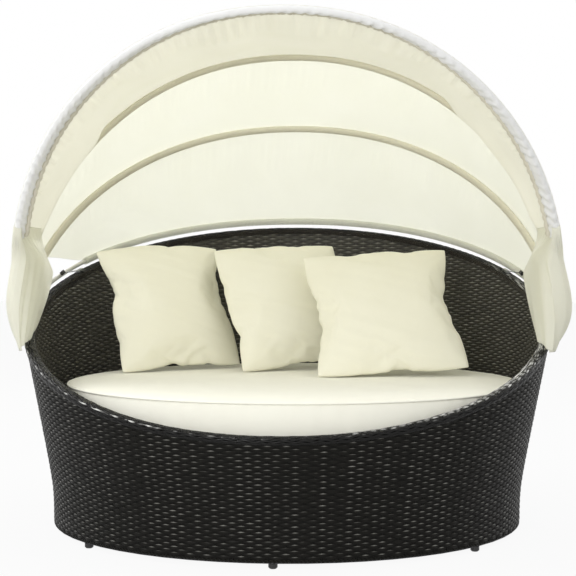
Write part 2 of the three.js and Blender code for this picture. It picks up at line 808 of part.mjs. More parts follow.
// The origin is on the floor, under the middle of the whole outline
const whole = new THREE.Box3().setFromObject(daybed, true);
daybed.position.y = -(whole.min.y + whole.max.y) / 2;

export default daybed;
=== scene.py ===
"""The looks of an oval woven daybed with a mattress, three pillows and a folding cloth canopy."""
import json

import bpy
import numpy as np
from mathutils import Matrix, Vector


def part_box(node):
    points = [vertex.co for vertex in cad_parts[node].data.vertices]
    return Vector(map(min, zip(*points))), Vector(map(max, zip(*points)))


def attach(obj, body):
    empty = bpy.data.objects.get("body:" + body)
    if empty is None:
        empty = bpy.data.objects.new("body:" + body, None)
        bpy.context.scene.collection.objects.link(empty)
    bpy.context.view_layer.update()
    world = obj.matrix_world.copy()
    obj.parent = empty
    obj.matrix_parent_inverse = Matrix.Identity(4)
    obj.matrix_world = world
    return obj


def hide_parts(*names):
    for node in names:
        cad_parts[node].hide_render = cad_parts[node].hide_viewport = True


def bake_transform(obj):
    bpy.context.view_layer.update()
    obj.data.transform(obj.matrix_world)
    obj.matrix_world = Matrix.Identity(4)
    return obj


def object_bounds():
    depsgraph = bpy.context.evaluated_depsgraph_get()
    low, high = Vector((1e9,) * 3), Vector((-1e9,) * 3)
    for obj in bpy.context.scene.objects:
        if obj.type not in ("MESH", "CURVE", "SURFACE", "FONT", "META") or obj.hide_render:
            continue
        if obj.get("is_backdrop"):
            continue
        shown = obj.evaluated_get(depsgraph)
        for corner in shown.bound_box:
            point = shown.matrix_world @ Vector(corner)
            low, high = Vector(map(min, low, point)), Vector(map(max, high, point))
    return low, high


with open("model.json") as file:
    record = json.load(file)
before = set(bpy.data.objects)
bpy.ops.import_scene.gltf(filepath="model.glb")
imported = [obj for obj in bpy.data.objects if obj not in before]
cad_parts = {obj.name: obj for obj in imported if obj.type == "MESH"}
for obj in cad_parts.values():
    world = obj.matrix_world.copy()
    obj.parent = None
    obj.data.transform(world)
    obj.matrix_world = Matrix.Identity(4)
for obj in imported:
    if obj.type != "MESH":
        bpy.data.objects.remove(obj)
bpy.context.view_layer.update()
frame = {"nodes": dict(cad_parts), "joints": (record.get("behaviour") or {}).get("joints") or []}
scene = bpy.context.scene
scene.view_settings.view_transform = "Standard"


# Studio
# A plain pale floor under plain soft lamps. The camera stands a little to the right of the middle,
# at about a sitter's eye height, and sees the floor and the background as white.
camera_place = (0.190, -4.892, 0.945)
camera_turn = np.radians([90 - 1.604, 0, 2.235])
camera_lens = 85.8
sensor_width = 36
background_white = "#ffffff"
floor_side = 40
floor_glow_share = 0.93
floor_colour = "#b4b4b2"
ambient_strength = 0.86
lamps = [
    {"name": "front_lamp", "place": (-1.8, -5.2, 2.2), "side": 2.6, "watts": 30},
    {"name": "low_lamp", "place": (-1.2, -4.6, 0.7), "side": 2.2, "watts": 12},
    {"name": "glint_lamp", "place": (-1.4, -4.7, 1.7), "side": 0.7, "watts": 40},
    {"name": "top_lamp", "place": (0.0, 0.6, 4.2), "side": 3.0, "watts": 44},
    {"name": "behind_lamp", "place": (-0.9, 4.4, 2.6), "side": 2.6, "watts": 46},
    {"name": "edge_lamp", "place": (3.2, 1.2, 2.4), "side": 1.1, "watts": 19},
    {"name": "side_lamp", "place": (-3.1, 0.4, 2.6), "side": 1.6, "watts": 42},
]
lamp_aim = (0, -0.1, 0.6)


def linear(hex_colour):
    """A six digit sRGB hex colour as linear red, green, blue and alpha."""
    srgb = np.array([int(hex_colour[k : k + 2], 16) for k in (1, 3, 5)]) / 255
    values = np.where(srgb <= 0.04045, srgb / 12.92, ((srgb + 0.055) / 1.055) ** 2.4)
    return (*values, 1)


def node(tree, kind, inputs=None, **settings):
    """Adds a shader node, with its settings, and sets or links each named or numbered input."""
    made = tree.nodes.new("ShaderNode" + kind)
    for key, value in settings.items():
        setattr(made, key, value)
    for key, value in (inputs or {}).items():
        if isinstance(value, bpy.types.NodeSocket):
            tree.links.new(value, made.inputs[key])
        else:
            made.inputs[key].default_value = value
    return made


camera_data = bpy.data.cameras.new("camera")
camera_data.lens = camera_lens
camera_data.sensor_width = sensor_width
camera = bpy.data.objects.new("camera", camera_data)
camera.location = camera_place
camera.rotation_euler = camera_turn
scene.collection.objects.link(camera)
scene.camera = camera

world = bpy.data.worlds.new("studio")
world.use_nodes = True
scene.world = world
sky = world.node_tree
sky.nodes.clear()


def seen_as_white(tree):
    """One for a ray from the camera, off a gloss or through glass, and nought for the others."""
    rays = node(tree, "LightPath").outputs
    seen = node(tree, "Math", {0: rays["Is Camera Ray"], 1: rays["Is Glossy Ray"]}, operation="MAXIMUM")
    seen = node(tree, "Math", {0: seen.outputs[0], 1: rays["Is Transmission Ray"]}, operation="MAXIMUM")
    return seen.outputs[0]


ambient = node(sky, "Background", {"Color": linear(background_white), "Strength": ambient_strength})
backdrop = node(sky, "Background", {"Color": linear(background_white), "Strength": 1.0})
chosen = node(sky, "MixShader", {0: seen_as_white(sky), 1: ambient.outputs[0], 2: backdrop.outputs[0]})
node(sky, "OutputWorld", {"Surface": chosen.outputs[0]})

for lamp in lamps:
    light = bpy.data.lights.new(lamp["name"], "AREA")
    light.size = lamp["side"]
    light.energy = lamp["watts"]
    shown = bpy.data.objects.new(lamp["name"], light)
    away = np.array(lamp["place"]) - np.array(lamp_aim)
    shown.location = lamp["place"]
    shown.rotation_euler = (np.arctan2(np.hypot(away[0], away[1]), away[2]), 0, np.arctan2(away[0], -away[1]))
    scene.collection.objects.link(shown)

floor_mesh = bpy.data.meshes.new("floor")
reach = floor_side / 2
floor_corners = [(-reach, -reach, 0), (reach, -reach, 0), (reach, reach, 0), (-reach, reach, 0)]
floor_mesh.from_pydata(floor_corners, [], [(0, 1, 2, 3)])
floor = bpy.data.objects.new("floor", floor_mesh)
scene.collection.objects.link(floor)
floor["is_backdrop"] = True
painted = bpy.data.materials.new("white_painted_floor")
painted.use_nodes = True
tree = painted.node_tree
tree.nodes.clear()
share = node(tree, "Math", {0: seen_as_white(tree), 1: floor_glow_share}, operation="MULTIPLY")
matte = node(tree, "BsdfDiffuse", {"Color": linear(floor_colour)})
glow = node(tree, "Emission", {"Color": linear(background_white), "Strength": 1.0})
both = node(tree, "MixShader", {0: share.outputs[0], 1: matte.outputs[0], 2: glow.outputs[0]})
node(tree, "OutputMaterial", {"Surface": both.outputs[0]})
floor_mesh.materials.append(painted)


# Woven walls of the tub
# Flat strands of glossy resin, 9 to 12 mm wide and nearly black, go over one upright stake and
# under the next, row on row, on the outside and the inside of the frame.
hub = np.array(next(j for j in frame["joints"] if j["name"] == "canopy_fold")["pos_m"])
hub_back = 0.0201
shift_y = hub[1] - hub_back
base_half_width = 0.800
base_half_depth = 0.717
foot_height = 0.016
flare_bend = 0.117
side_flare_share = 0.207
end_flare_share = 0.217
lean_share = 0.066
front_rim = 0.397
back_rim = 1.035
rim_curve_share = 1.071
wall_thickness = 0.034
stake_count = 188
samples_per_stake = 4
row_pitch = 0.009
strand_half_height = 0.0046
strand_swell = 0.0013
strand_crown = 0.0014
# The strand's section from its lower edge up: shares of its half height, of its crown and of its painted
# highlight
section_heights = np.array([-1, -0.25, 0.25, 0.65, 1])
section_crowns = np.array([0, 1, 1, 0.8, 0])
section_glints = np.array([0, 0, 0.05, 1, 0])
# Painted light: shade is painted in the hollow behind each stake, and a highlight on the strand's upper edge,
# stronger on some stakes and rows than on others
dash_power = 1.8
face_share = 0.35
shaded_hollow_share = 0.35
glint_middle, glint_by_stake, glint_by_row, glint_least = 0.55, 0.3, 0.25, 0.15
weave_depth = 0.0012
weave_jitter = 0.0003
level_jitter = 0.00015
stake_tilt = 0.0005
row_tilt_share = 0.5
rim_cover = 0.014
stake_half_width = 0.0024
stake_half_thickness = 0.001
stake_levels = 26
# The stakes are coloured partway to the crevice colour: painted shade, as they stand back among the strands
stake_painted_shade = 0.2
outer_line = 0.0031
inner_line = wall_thickness - outer_line
outer_first_row = foot_height + 0.0165
inner_first_row = 0.3465
triangles_a_band = 185000
resin_patches_a_metre, resin_grains_a_metre = 38, 700
full_turn = 2 * np.pi


def flare_run(height):
    """The wall's outward run: none at the foot, then a straight flare above a soft bend."""
    past = np.maximum(height - foot_height, 0) - flare_bend
    half_bend = flare_bend / 2
    return (np.hypot(past, half_bend) + past - np.hypot(flare_bend, half_bend) + flare_bend) / 2


def wall(turn, height, inset):
    """A point inside the tub's outer face by the inset. Turn 0 is the front, and a quarter is the right."""
    turn, height, inset = np.broadcast_arrays(turn, height, inset)
    x = (base_half_width + side_flare_share * flare_run(height) - inset) * np.sin(turn)
    depth = base_half_depth + end_flare_share * flare_run(height) - inset
    return np.stack([x, shift_y + lean_share * height - depth * np.cos(turn), height], -1)


def rim_height(turn):
    """The rim's height: a power of half of one less the cosine of the turn, from front to back."""
    return front_rim + (back_rim - front_rim) * ((1 - np.cos(turn)) / 2) ** rim_curve_share


def make_piece(name, points, face_groups, material, body="root", closed=True, painted_shade_to_glint=None, corners=0):
    """A smooth shaded piece from its points and its groups of faces, which rides on a body. Its painted
    shade to glint value says how much each point, or all of them, stands out: from 0 in a crevice, in
    painted shade, to 1 on a crest, with a painted highlight. With corners, the number of them in each
    ring, the edges that run along the piece stay sharp."""
    grid = np.shape(points)[:-1]
    points = np.asarray(points, float).reshape(-1, 3)
    if closed:
        volume = 0
        for faces in face_groups:
            for k in range(1, faces.shape[1] - 1):
                a, b, c = points[faces[:, 0]], points[faces[:, k]], points[faces[:, k + 1]]
                volume += np.einsum("ij,ij->", a, np.cross(b, c))
        if volume < 0:
            face_groups = [faces[:, ::-1] for faces in face_groups]
    loops = np.concatenate([faces.ravel() for faces in face_groups])
    sizes = np.concatenate([np.full(len(faces), faces.shape[1]) for faces in face_groups])
    mesh = bpy.data.meshes.new(name)
    mesh.vertices.add(len(points))
    mesh.vertices.foreach_set("co", points.astype(np.float32).ravel())
    mesh.loops.add(len(loops))
    mesh.loops.foreach_set("vertex_index", loops.astype(np.int32))
    mesh.polygons.add(len(sizes))
    mesh.polygons.foreach_set("loop_start", np.concatenate([[0], np.cumsum(sizes)[:-1]]).astype(np.int32))
    mesh.polygons.foreach_set("use_smooth", np.ones(len(sizes), bool))
    mesh.update(calc_edges=True)
    mesh.materials.append(material)
    if corners:
        ends = np.zeros(2 * len(mesh.edges), np.int32)
        mesh.edges.foreach_get("vertices", ends)
        lengthwise = ends[::2] % corners == ends[1::2] % corners
        mesh.attributes.new("sharp_edge", "BOOLEAN", "EDGE").data.foreach_set("value", lengthwise)
    # This attribute carries painted light: painted shade in crevices and painted highlights on crests
    if painted_shade_to_glint is not None:
        painted_shade_to_glint = np.broadcast_to(painted_shade_to_glint, grid).astype(np.float32).ravel()
        mesh.attributes.new("painted_shade_to_glint", "FLOAT", "POINT").data.foreach_set("value", painted_shade_to_glint)
    made = bpy.data.objects.new(name, mesh)
    scene.collection.objects.link(made)
    if body:
        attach(made, body)
    return made


def grid_faces(rows, columns, round_rows=False, round_columns=False, start=0):
    """The quads of a grid of points, closed on itself either way if asked."""
    i = np.arange(rows if round_rows else rows - 1)[:, None]
    j = np.arange(columns if round_columns else columns - 1)[None, :]
    i_next, j_next = (i + 1) % rows, (j + 1) % columns
    corners = [i * columns + j, i_next * columns + j, i_next * columns + j_next, i * columns + j_next]
    return start + np.stack(np.broadcast_arrays(*corners), -1).reshape(-1, 4)


def end_fans(rows, columns, start=0):
    """The triangles that close the first and the last ring of a tube."""
    k = np.arange(1, columns - 1)
    near = np.stack([0 * k, k + 1, k], -1)
    far = (rows - 1) * columns + np.stack([0 * k, k, k + 1], -1)
    return start + np.concatenate([near, far])


def round_angles(count):
    """Angles at even steps round a full turn, from nought."""
    return np.arange(count) / count * full_turn


def patterned_material(name):
    """A new material, its tree, its main shader, and the object coordinates that its patterns read."""
    material = bpy.data.materials.new(name)
    material.use_nodes = True
    tree = material.node_tree
    return material, tree, tree.nodes["Principled BSDF"], node(tree, "TexCoord").outputs["Object"]


def woven_resin(name, crevice, face, highlight, rough, gloss):
    """Polyethylene strand, extruded and dyed through, mottled in patches of about 26 mm and with a grain
    drawn at 1.4 mm. It is painted black as shade, and dull, in the crevices behind the stakes, dark on
    its face, and painted pale as a highlight where it stands out most."""
    material, tree, shader, place = patterned_material(name)
    patch = node(tree, "TexNoise", {"Vector": place, "Scale": resin_patches_a_metre, "Detail": 3})
    painted_shade_to_glint = node(tree, "Attribute", attribute_name="painted_shade_to_glint")
    mottled = node(tree, "MapRange", {0: patch.outputs[0], 1: 0.3, 2: 0.7, 3: 0.7, 4: 1.0})
    amount = node(tree, "Math", {0: painted_shade_to_glint.outputs["Fac"], 1: mottled.outputs[0]}, operation="MULTIPLY")
    # The colour goes from the crevice colour, painted shade, to the face colour, then pales to a painted
    # highlight
    out_of_crevice = node(tree, "MapRange", {0: amount.outputs[0], 1: 0.0, 2: face_share})
    glinting = node(tree, "MapRange", {0: amount.outputs[0], 1: face_share, 2: 0.9})
    dark = {0: out_of_crevice.outputs[0], 6: linear(crevice), 7: linear(face)}
    plain = node(tree, "Mix", dark, data_type="RGBA")
    pale = {0: glinting.outputs[0], 6: plain.outputs[2], 7: linear(highlight)}
    tone = node(tree, "Mix", pale, data_type="RGBA")
    tree.links.new(tone.outputs[2], shader.inputs["Base Color"])
    dulling = node(tree, "MapRange", {0: amount.outputs[0], 1: 0.0, 2: face_share, 3: 0.85, 4: rough})
    tree.links.new(dulling.outputs[0], shader.inputs["Roughness"])
    shader.inputs["Specular IOR Level"].default_value = gloss
    grain = node(tree, "TexNoise", {"Vector": place, "Scale": resin_grains_a_metre, "Detail": 2})
    bump = node(tree, "Bump", {"Height": grain.outputs[0], "Strength": 0.1, "Distance": 0.0003})
    tree.links.new(bump.outputs[0], shader.inputs["Normal"])
    return material


# The inner weave's resin is the same as the outer's, but its face and highlight are painted paler: painted
# light for the brighter inside of the tub
wall_resin = woven_resin("extruded_resin_strand", "#0b0b0a", "#191815", "#8f8e88", 0.34, 0.09)
inner_resin = woven_resin("inner_resin_strand_painted_lighter", "#121110", "#403e37", "#a5a398", 0.3, 0.34)


def strand(row, height, line, side, tilts, rng):
    """A weaving strand: a ribbon with bevelled long sides whose line swings in and out as a cosine from
    stake to stake, widest at each stake, and tilted a little by how hard that stake was pulled.
    Returns its rings of points, their painted shade and highlights, and whether it goes all the way round."""
    total = stake_count * samples_per_stake
    risen = np.clip((height + rim_cover - front_rim) / (back_rim - front_rim), 0, 1)
    first = int(np.ceil(np.arccos(1 - 2 * risen ** (1 / rim_curve_share)) / full_turn * total))
    index = np.arange(first, total - first + (0 if first == 0 else 1))
    jitters, pulls, glint_strengths = rng.uniform(-1, 1, (3, stake_count + 1))
    pulls = stake_tilt * (tilts + row_tilt_share * pulls)
    glint_strengths = np.clip(glint_middle + glint_by_stake * tilts + glint_by_row * glint_strengths, glint_least, 1)
    at_stakes = np.arange(0, total + 1, samples_per_stake)
    jitter, tilt, glint_strength = (np.interp(index, at_stakes, values)[:, None] for values in (jitters, pulls, glint_strengths))
    swing = np.cos(np.pi * (index / samples_per_stake + row))[:, None]
    out = weave_depth * swing + weave_jitter * jitter
    half = strand_half_height + strand_swell * np.abs(swing)
    levels = height + half * section_heights + level_jitter * jitter
    insets = line - side * (out + strand_crown * section_crowns + tilt * section_heights)
    # A highlight is painted on the upper edge where the strand stands out, stronger on some stakes than on
    # others, and shade is painted in the hollow behind each stake
    outside = 0.5 + 0.5 * swing
    painted_glint = outside**dash_power * glint_strength * section_glints
    painted_shade_to_glint = face_share * (shaded_hollow_share + (1 - shaded_hollow_share) * outside) + (1 - face_share) * painted_glint
    return wall(index[:, None] / total * full_turn, levels, insets), painted_shade_to_glint, first == 0


def woven_wall(name, first_row, line, side, material, seed):
    """All rows of one wall, as pieces of whole rows; a new piece begins once the last one passes a set count
    of triangles.
    """
    rng = np.random.default_rng(seed)
    tilts = rng.uniform(-1, 1, stake_count + 1)
    bands = []
    for row, height in enumerate(np.arange(first_row, back_rim - rim_cover, row_pitch)):
        rings, painted_shade_to_glint, whole = strand(row, height, line, side, tilts, rng)
        if len(rings) < 3:
            continue
        if not bands or 2 * sum(map(len, bands[-1]["quads"])) > triangles_a_band:
            bands.append({"points": [], "painted_shade_to_glint": [], "quads": [], "fans": []})
        band = bands[-1]
        start = sum(map(len, band["points"]))
        band["points"].append(rings.reshape(-1, 3))
        band["painted_shade_to_glint"].append(painted_shade_to_glint.ravel())
        band["quads"].append(grid_faces(*rings.shape[:2], whole, True, start))
        if not whole:
            band["fans"].append(end_fans(*rings.shape[:2], start))
    for k, band in enumerate(bands):
        groups = [np.concatenate(band[kind]) for kind in ("quads", "fans") if band[kind]]
        points, painted_shade_to_glint = np.concatenate(band["points"]), np.concatenate(band["painted_shade_to_glint"])
        band_name, corners = f"{name}_band_{k + 1}", len(section_heights)
        piece = make_piece(band_name, points, groups, material, painted_shade_to_glint=painted_shade_to_glint, corners=corners)
        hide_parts(name)


def stakes(name, low, line, material):
    """Flat upright stakes of four sides from the low edge to under the rim, one at each crossing."""
    turn = round_angles(stake_count)[:, None, None]
    level = low + (rim_height(turn) - rim_cover - low) * np.linspace(0, 1, stake_levels)[:, None]
    around = round_angles(4)
    sideways = stake_half_width * np.cos(around) / base_half_width
    rings = wall(turn + sideways, level, line + stake_half_thickness * np.sin(around))
    starts = (np.arange(stake_count) * 4 * stake_levels)[:, None, None]
    kinds = (grid_faces(stake_levels, 4, False, True), end_fans(stake_levels, 4))
    groups = [(faces + starts).reshape(-1, faces.shape[1]) for faces in kinds]
    make_piece(name, rings, groups, material, painted_shade_to_glint=stake_painted_shade)


woven_wall("outer_weave", outer_first_row, outer_line, 1, wall_resin, 11)
woven_wall("inner_weave", inner_first_row, inner_line, -1, inner_resin, 12)
stakes("outer_stakes", foot_height + 0.004, outer_line, wall_resin)
stakes("inner_stakes", inner_first_row - 0.003, inner_line, inner_resin)


# Foot binding
# Two strands twisted round each other close the weave's lower edge, just above the feet.
twist_count = 190
twist_radius = 0.0026
twist_strand_radius = 0.0032
twist_line = 0.0062
twist_height = foot_height + 0.0072
twist_samples = 8
twist_sides = 6
twist_flatness = 0.6


def tube_faces(rings, joined=True):
    """The quads of a tube's rings, which joins its own start or else is closed by a fan at each end."""
    quads = grid_faces(*rings.shape[:2], joined, True)
    return [quads] if joined else [quads, end_fans(*rings.shape[:2])]


def twisted_strand(start_share):
    """A helix round the foot line, closed on itself and flattened against the wall."""
    turn = round_angles(twist_count * twist_samples)[:, None]
    spin = twist_count * turn + start_share * full_turn
    around = round_angles(twist_sides)
    height = twist_height + twist_radius * np.sin(spin) + twist_strand_radius * np.sin(around)
    inset = twist_line + twist_radius * np.cos(spin) * twist_flatness + twist_strand_radius * np.cos(around)
    return wall(turn, height, inset)


for k in range(2):
    rings = twisted_strand(k / 2)
    make_piece(f"foot_binding_{k + 1}", rings, tube_faces(rings), wall_resin, painted_shade_to_glint=face_share)


# Rim braid
# Thirteen narrow strands plaited over the outer half of the tub's top edge, at a low angle, with plain
# runners over the inner half and one along the outer shoulder. Painted highlights show white on the
# black resin, over the inner top at the right and along the outer shoulder at the left, and each plaited
# strand is painted in shade where it goes under.
plait_strands = 13
plait_periods = 7
plait_stations, plait_sides = 1040, 6
plait_snap = 5
plait_reach = np.radians(64)
plait_shift = np.radians(54)
plait_lift = 0.0009
plait_half_width = 0.0030
plait_half_thickness = 0.0009
core_half_width = 0.0170
core_half_height = 0.0130
core_stations, core_sides = 600, 16
core_inset = 0.0004
braid_middle_drop = 0.0160
roll_power = 0.86
runner_radius = 0.0026
runner_thickness_share = 0.8
runner_rise_share = 0.6
runner_stations, runner_sides = 700, 8
runner_angles = np.radians([58, -4, -22, -38, -52, -70, -90, -110])
runner_wander = 0.00025
runner_waves, waves_from, waves_to = 5, 60, 110
# Runners from this angle up take the rim resin with its white painted highlights; those further in take the
# inner runner resin
rim_resin_from = np.radians(-60)
# Below this angle round the roll, strands get painted highlights at the right; above it, the shoulder runner
# gets them at the left
inner_glints_until = np.radians(40)
# For each kind of strand, how many stations its painted highlights are apart, and how rare the bright ones
# are
plait_glints = {"spacing": 5, "rarity": 1}
shoulder_glints = {"spacing": 2, "rarity": 2.5}
inner_glints = {"spacing": 3, "rarity": 1.2}
rng_rim = np.random.default_rng(15)
# The rim resin's pale colour is a painted highlight; the inner runners' resin has a browner face and a dimmer
# painted highlight
rim_resin = woven_resin("rim_resin_strand", "#080807", "#12110f", "#e4e4e0", 0.2, 0.22)
runner_resin = woven_resin("inner_resin_runner", "#131210", "#2a2620", "#4a463c", 0.42, 0.25)


def on_roll(turn, around, out):
    """A point on the rim's roll, a rounded box section, with 0 around at its top and plus outside."""
    wide, high = core_half_width + out, core_half_height + out
    sine, cosine = np.sin(around), np.cos(around)
    across = wide * np.sign(sine) * np.abs(sine) ** roll_power
    up = high * np.sign(cosine) * np.abs(cosine) ** roll_power
    return wall(turn, rim_height(turn) - braid_middle_drop + up, wall_thickness / 2 - across)


def unit(vectors):
    """Vectors divided by their own length."""
    return vectors / np.linalg.norm(vectors, axis=-1, keepdims=True)


def oval_rings(line, across, up, half_across, half_up, sides):
    """The rings of a tube along a line: the half width times the cosine of the angle round it, across,
    and the half height times its sine, up."""
    around = round_angles(sides)
    return (
        line[:, None]
        + (half_across * np.cos(around))[..., None] * across[:, None]
        + (half_up * np.sin(around))[..., None] * up[:, None]
    )


def laid_strand(turn, around, lift, half_width, half_thickness, sides):
    """An oval strand on the roll: its rings are squared to its path and lie flat on the roll's face."""
    middle = on_roll(turn, around, lift)
    up = unit(on_roll(turn, around, lift + 0.001) - middle)
    side = unit(np.cross(np.roll(middle, -1, 0) - np.roll(middle, 1, 0), up))
    return oval_rings(middle, side, up, half_width, half_thickness, sides)


def glints_at_right(turn):
    """How strong the rim's painted highlights are: fully at the right, fading towards the front's middle,
    and none at the left or the back."""
    return np.clip(1.6 * np.sin(turn), 0, 1) * np.clip(1.4 + 2 * np.cos(turn), 0, 1)


def glints_at_left(turn):
    """How strong the outer shoulder's painted highlights are: fully at the left, and a fifth at the front,
    back and right.
    """
    return np.clip(-1.8 * np.sin(turn), 0.2, 1)


def painted_glints(stations, spacing, rarity):
    """Painted highlights along a strand of the rim: how pale it is at each station, at random knots."""
    knots = np.arange(0, stations + spacing, spacing)
    return np.interp(np.arange(stations), knots, rng_rim.uniform(0, 1, len(knots)) ** rarity)


def rim_piece(name, rings, material, painted_shade_to_glint):
    """One strand of the rim, or its core, with its painted shade and highlights all over or at each of its
    stations.
    """
    painted_shade_to_glint = np.reshape(painted_shade_to_glint, (-1, 1))
    piece = make_piece(name, rings, tube_faces(rings), material, painted_shade_to_glint=painted_shade_to_glint)
    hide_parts("rim_braid")


core = on_roll(round_angles(core_stations)[:, None], round_angles(core_sides), -core_inset)
# The core takes the crevice colour: painted shade between the strands
rim_piece("rim_core", core, wall_resin, 0)
turn = round_angles(plait_stations)
for k in range(plait_strands):
    # Each strand goes over and under by turns, and the other way about on its way back
    phase = plait_periods * turn + k / plait_strands * full_turn
    above = np.tanh(plait_snap * np.sin(phase)) * np.cos(plait_strands * phase)
    around = plait_shift + plait_reach * np.cos(phase)
    lift = plait_half_thickness + plait_lift * (1 + above)
    rings = laid_strand(turn, around, lift, plait_half_width, plait_half_thickness, plait_sides)
    # Each strand is painted in shade where it goes under, and gets painted highlights where it is over, at
    # the right
    over = 0.5 + 0.5 * above
    painted_glint = glints_at_right(turn) * (around < inner_glints_until) * painted_glints(plait_stations, **plait_glints)
    rim_piece(f"rim_plait_{k + 1}", rings, rim_resin, over * (face_share + (1 - face_share) * painted_glint))
turn = round_angles(runner_stations)
for k, around in enumerate(runner_angles):
    counts = rng_rim.integers(waves_from, waves_to, runner_waves)
    starts = rng_rim.uniform(0, full_turn, runner_waves)
    waves = sum(np.sin(count * turn + start) for count, start in zip(counts, starts))
    lift = runner_radius * runner_rise_share + runner_wander * waves
    half_thickness = runner_radius * runner_thickness_share
    rings = laid_strand(turn, around, lift, runner_radius, half_thickness, runner_sides)
    # Painted highlights: along the outer shoulder at the left, and over the inner top at the right
    if around > inner_glints_until:
        painted_glint = glints_at_left(turn) * painted_glints(runner_stations, **shoulder_glints)
    else:
        painted_glint = glints_at_right(turn) * painted_glints(runner_stations, **inner_glints)
    material = rim_resin if around > rim_resin_from else runner_resin
    rim_piece(f"rim_runner_{k + 1}", rings, material, face_share + (1 - face_share) * painted_glint)


# Frame, deck and feet
# Welded aluminium tube with a dark powder coat, a woven deck on it, and moulded black feet.
coat_patches_a_metre, coat_peel_a_metre = 60, 900


def powder_coat(name, dark, light, roughness):
    """Baked polyester powder on metal or moulded nylon: dull, a little uneven in patches of about 17 mm,
    with an orange peel of about 1 mm."""
    material, tree, shader, place = patterned_material(name)
    patch = node(tree, "TexNoise", {"Vector": place, "Scale": coat_patches_a_metre, "Detail": 4})
    tone = node(tree, "Mix", {0: patch.outputs[0], 6: linear(dark), 7: linear(light)}, data_type="RGBA")
    tree.links.new(tone.outputs[2], shader.inputs["Base Color"])
    shader.inputs["Roughness"].default_value = roughness
    peel = node(tree, "TexNoise", {"Vector": place, "Scale": coat_peel_a_metre, "Detail": 2})
    bump = node(tree, "Bump", {"Height": peel.outputs[0], "Strength": 0.2, "Distance": 0.0003})
    tree.links.new(bump.outputs[0], shader.inputs["Normal"])
    return material


def finish_node(name, material):
    """Gives a CAD piece its finish."""
    shown = frame["nodes"][name]
    shown.data.materials.clear()
    shown.data.materials.append(material)


frame_coat = powder_coat("frame_powder_coat", "#1f1f22", "#2b2b2f", 0.52)
moulded_nylon = powder_coat("moulded_nylon", "#121212", "#1d1d1d", 0.42)
frame_names = ["base_ring", "top_rim_tube", "deck_ring"]
frame_names += [f"upright_{k}" for k in range(1, 9)] + [f"cross_bar_{k}" for k in range(1, 4)]
for name in frame_names:
    finish_node(name, frame_coat)
for k in range(1, 7):
    finish_node(f"foot_glide_{k}", moulded_nylon)
finish_node("seat_deck", wall_resin)


# Mattress
# A foam block in a boxed cover of cream polyester, with a piped seam round its crowned top.
seam_height = 0.4856
mattress_low = 0.3439
mattress_crown = 0.016
crown_run_share = 0.2
top_inset = 0.064
left_slack = 0.050
bottom_inset = 0.042
side_bulge = 0.006
corner_radius = 0.012
seam_pinch = 0.003
pucker_depth = 0.0013
pucker_run = 0.035
pucker_length = 0.055
mattress_stations = 420
bottom_shares = (0.35, 0.7, 0.93)
side_shares = np.linspace(0.12, 0.985, 16)
edge_shares = (0.996, 0.990, 0.982, 0.97)
top_shares = np.concatenate([edge_shares, np.linspace(0.955, 0.03, 34), [0.012, 0.0015]])
dip_depth = 0.0012
dip_lengths = (0.31, 0.27)
piping_radius, piping_sides = 0.0034, 8
ripple_spread = 0.45
cloth_patches_a_metre, creases_a_metre, slubs_a_metre = 5, 9, 240
thread_spacing = 0.0011
wave_band = 6.3 / 20


def ripple(x, length, seed, waves=6):
    """A wandering wave from about -1 to 1: sines of about one length, with seeded lengths and phases."""
    rng = np.random.default_rng(seed)
    lengths = length * rng.uniform(1 - ripple_spread, 1 + ripple_spread, waves)
    phases = rng.uniform(0, full_turn, waves)
    return sum(np.sin(full_turn * x / w + p) for w, p in zip(lengths, phases)) / waves**0.5 / 1.4


def woven_polyester(name, lit, shaded, crease, through=0.0):
    """Plain woven outdoor polyester: matte, mottled in patches of about 200 mm, with creases of about
    110 mm, slubs of 4 mm and a faint sheen from its loose fibres. Its thread is drawn coarser than the
    real half millimetre so that it shows. A single layer lets light through, so the canopy glows where
    its outside is lit."""
    material, tree, shader, place = patterned_material(name)
    patch = node(tree, "TexNoise", {"Vector": place, "Scale": cloth_patches_a_metre, "Detail": 4})
    tone = node(tree, "Mix", {0: patch.outputs[0], 6: linear(shaded), 7: linear(lit)}, data_type="RGBA")
    tree.links.new(tone.outputs[2], shader.inputs["Base Color"])
    shader.inputs["Roughness"].default_value = 0.88
    shader.inputs["Sheen Weight"].default_value = 0.15
    shader.inputs["Specular IOR Level"].default_value = 0.25
    # At a scale of one, a wave texture's bands are one wave_band apart
    thread = {"Vector": place, "Scale": wave_band / thread_spacing, "Distortion": 0.6}
    warp = node(tree, "TexWave", thread, bands_direction="X")
    weft = node(tree, "TexWave", thread, bands_direction="Z")
    cloth = node(tree, "Math", {0: warp.outputs[1], 1: weft.outputs[1]}, operation="ADD")
    slub = node(tree, "TexNoise", {"Vector": place, "Scale": slubs_a_metre, "Detail": 3})
    height = node(tree, "Math", {0: cloth.outputs[0], 1: slub.outputs[0]}, operation="ADD")
    fine = node(tree, "Bump", {"Height": height.outputs[0], "Strength": 0.22, "Distance": 0.0005})
    soft = node(tree, "TexNoise", {"Vector": place, "Scale": creases_a_metre, "Detail": 5, "Roughness": 0.6})
    creased = {"Height": soft.outputs[0], "Strength": crease, "Distance": 0.012, "Normal": fine.outputs[0]}
    bump = node(tree, "Bump", creased)
    tree.links.new(bump.outputs[0], shader.inputs["Normal"])
    if through:
        glow = node(tree, "BsdfTranslucent", {"Color": tone.outputs[2], "Normal": bump.outputs[0]})
        mixed = node(tree, "MixShader", {0: through, 1: shader.outputs[0], 2: glow.outputs[0]})
        tree.links.new(mixed.outputs[0], tree.nodes["Material Output"].inputs["Surface"])
    return material


seat_cloth = woven_polyester("cream_polyester", "#f8f7ea", "#f2f0e2", crease=0.12)


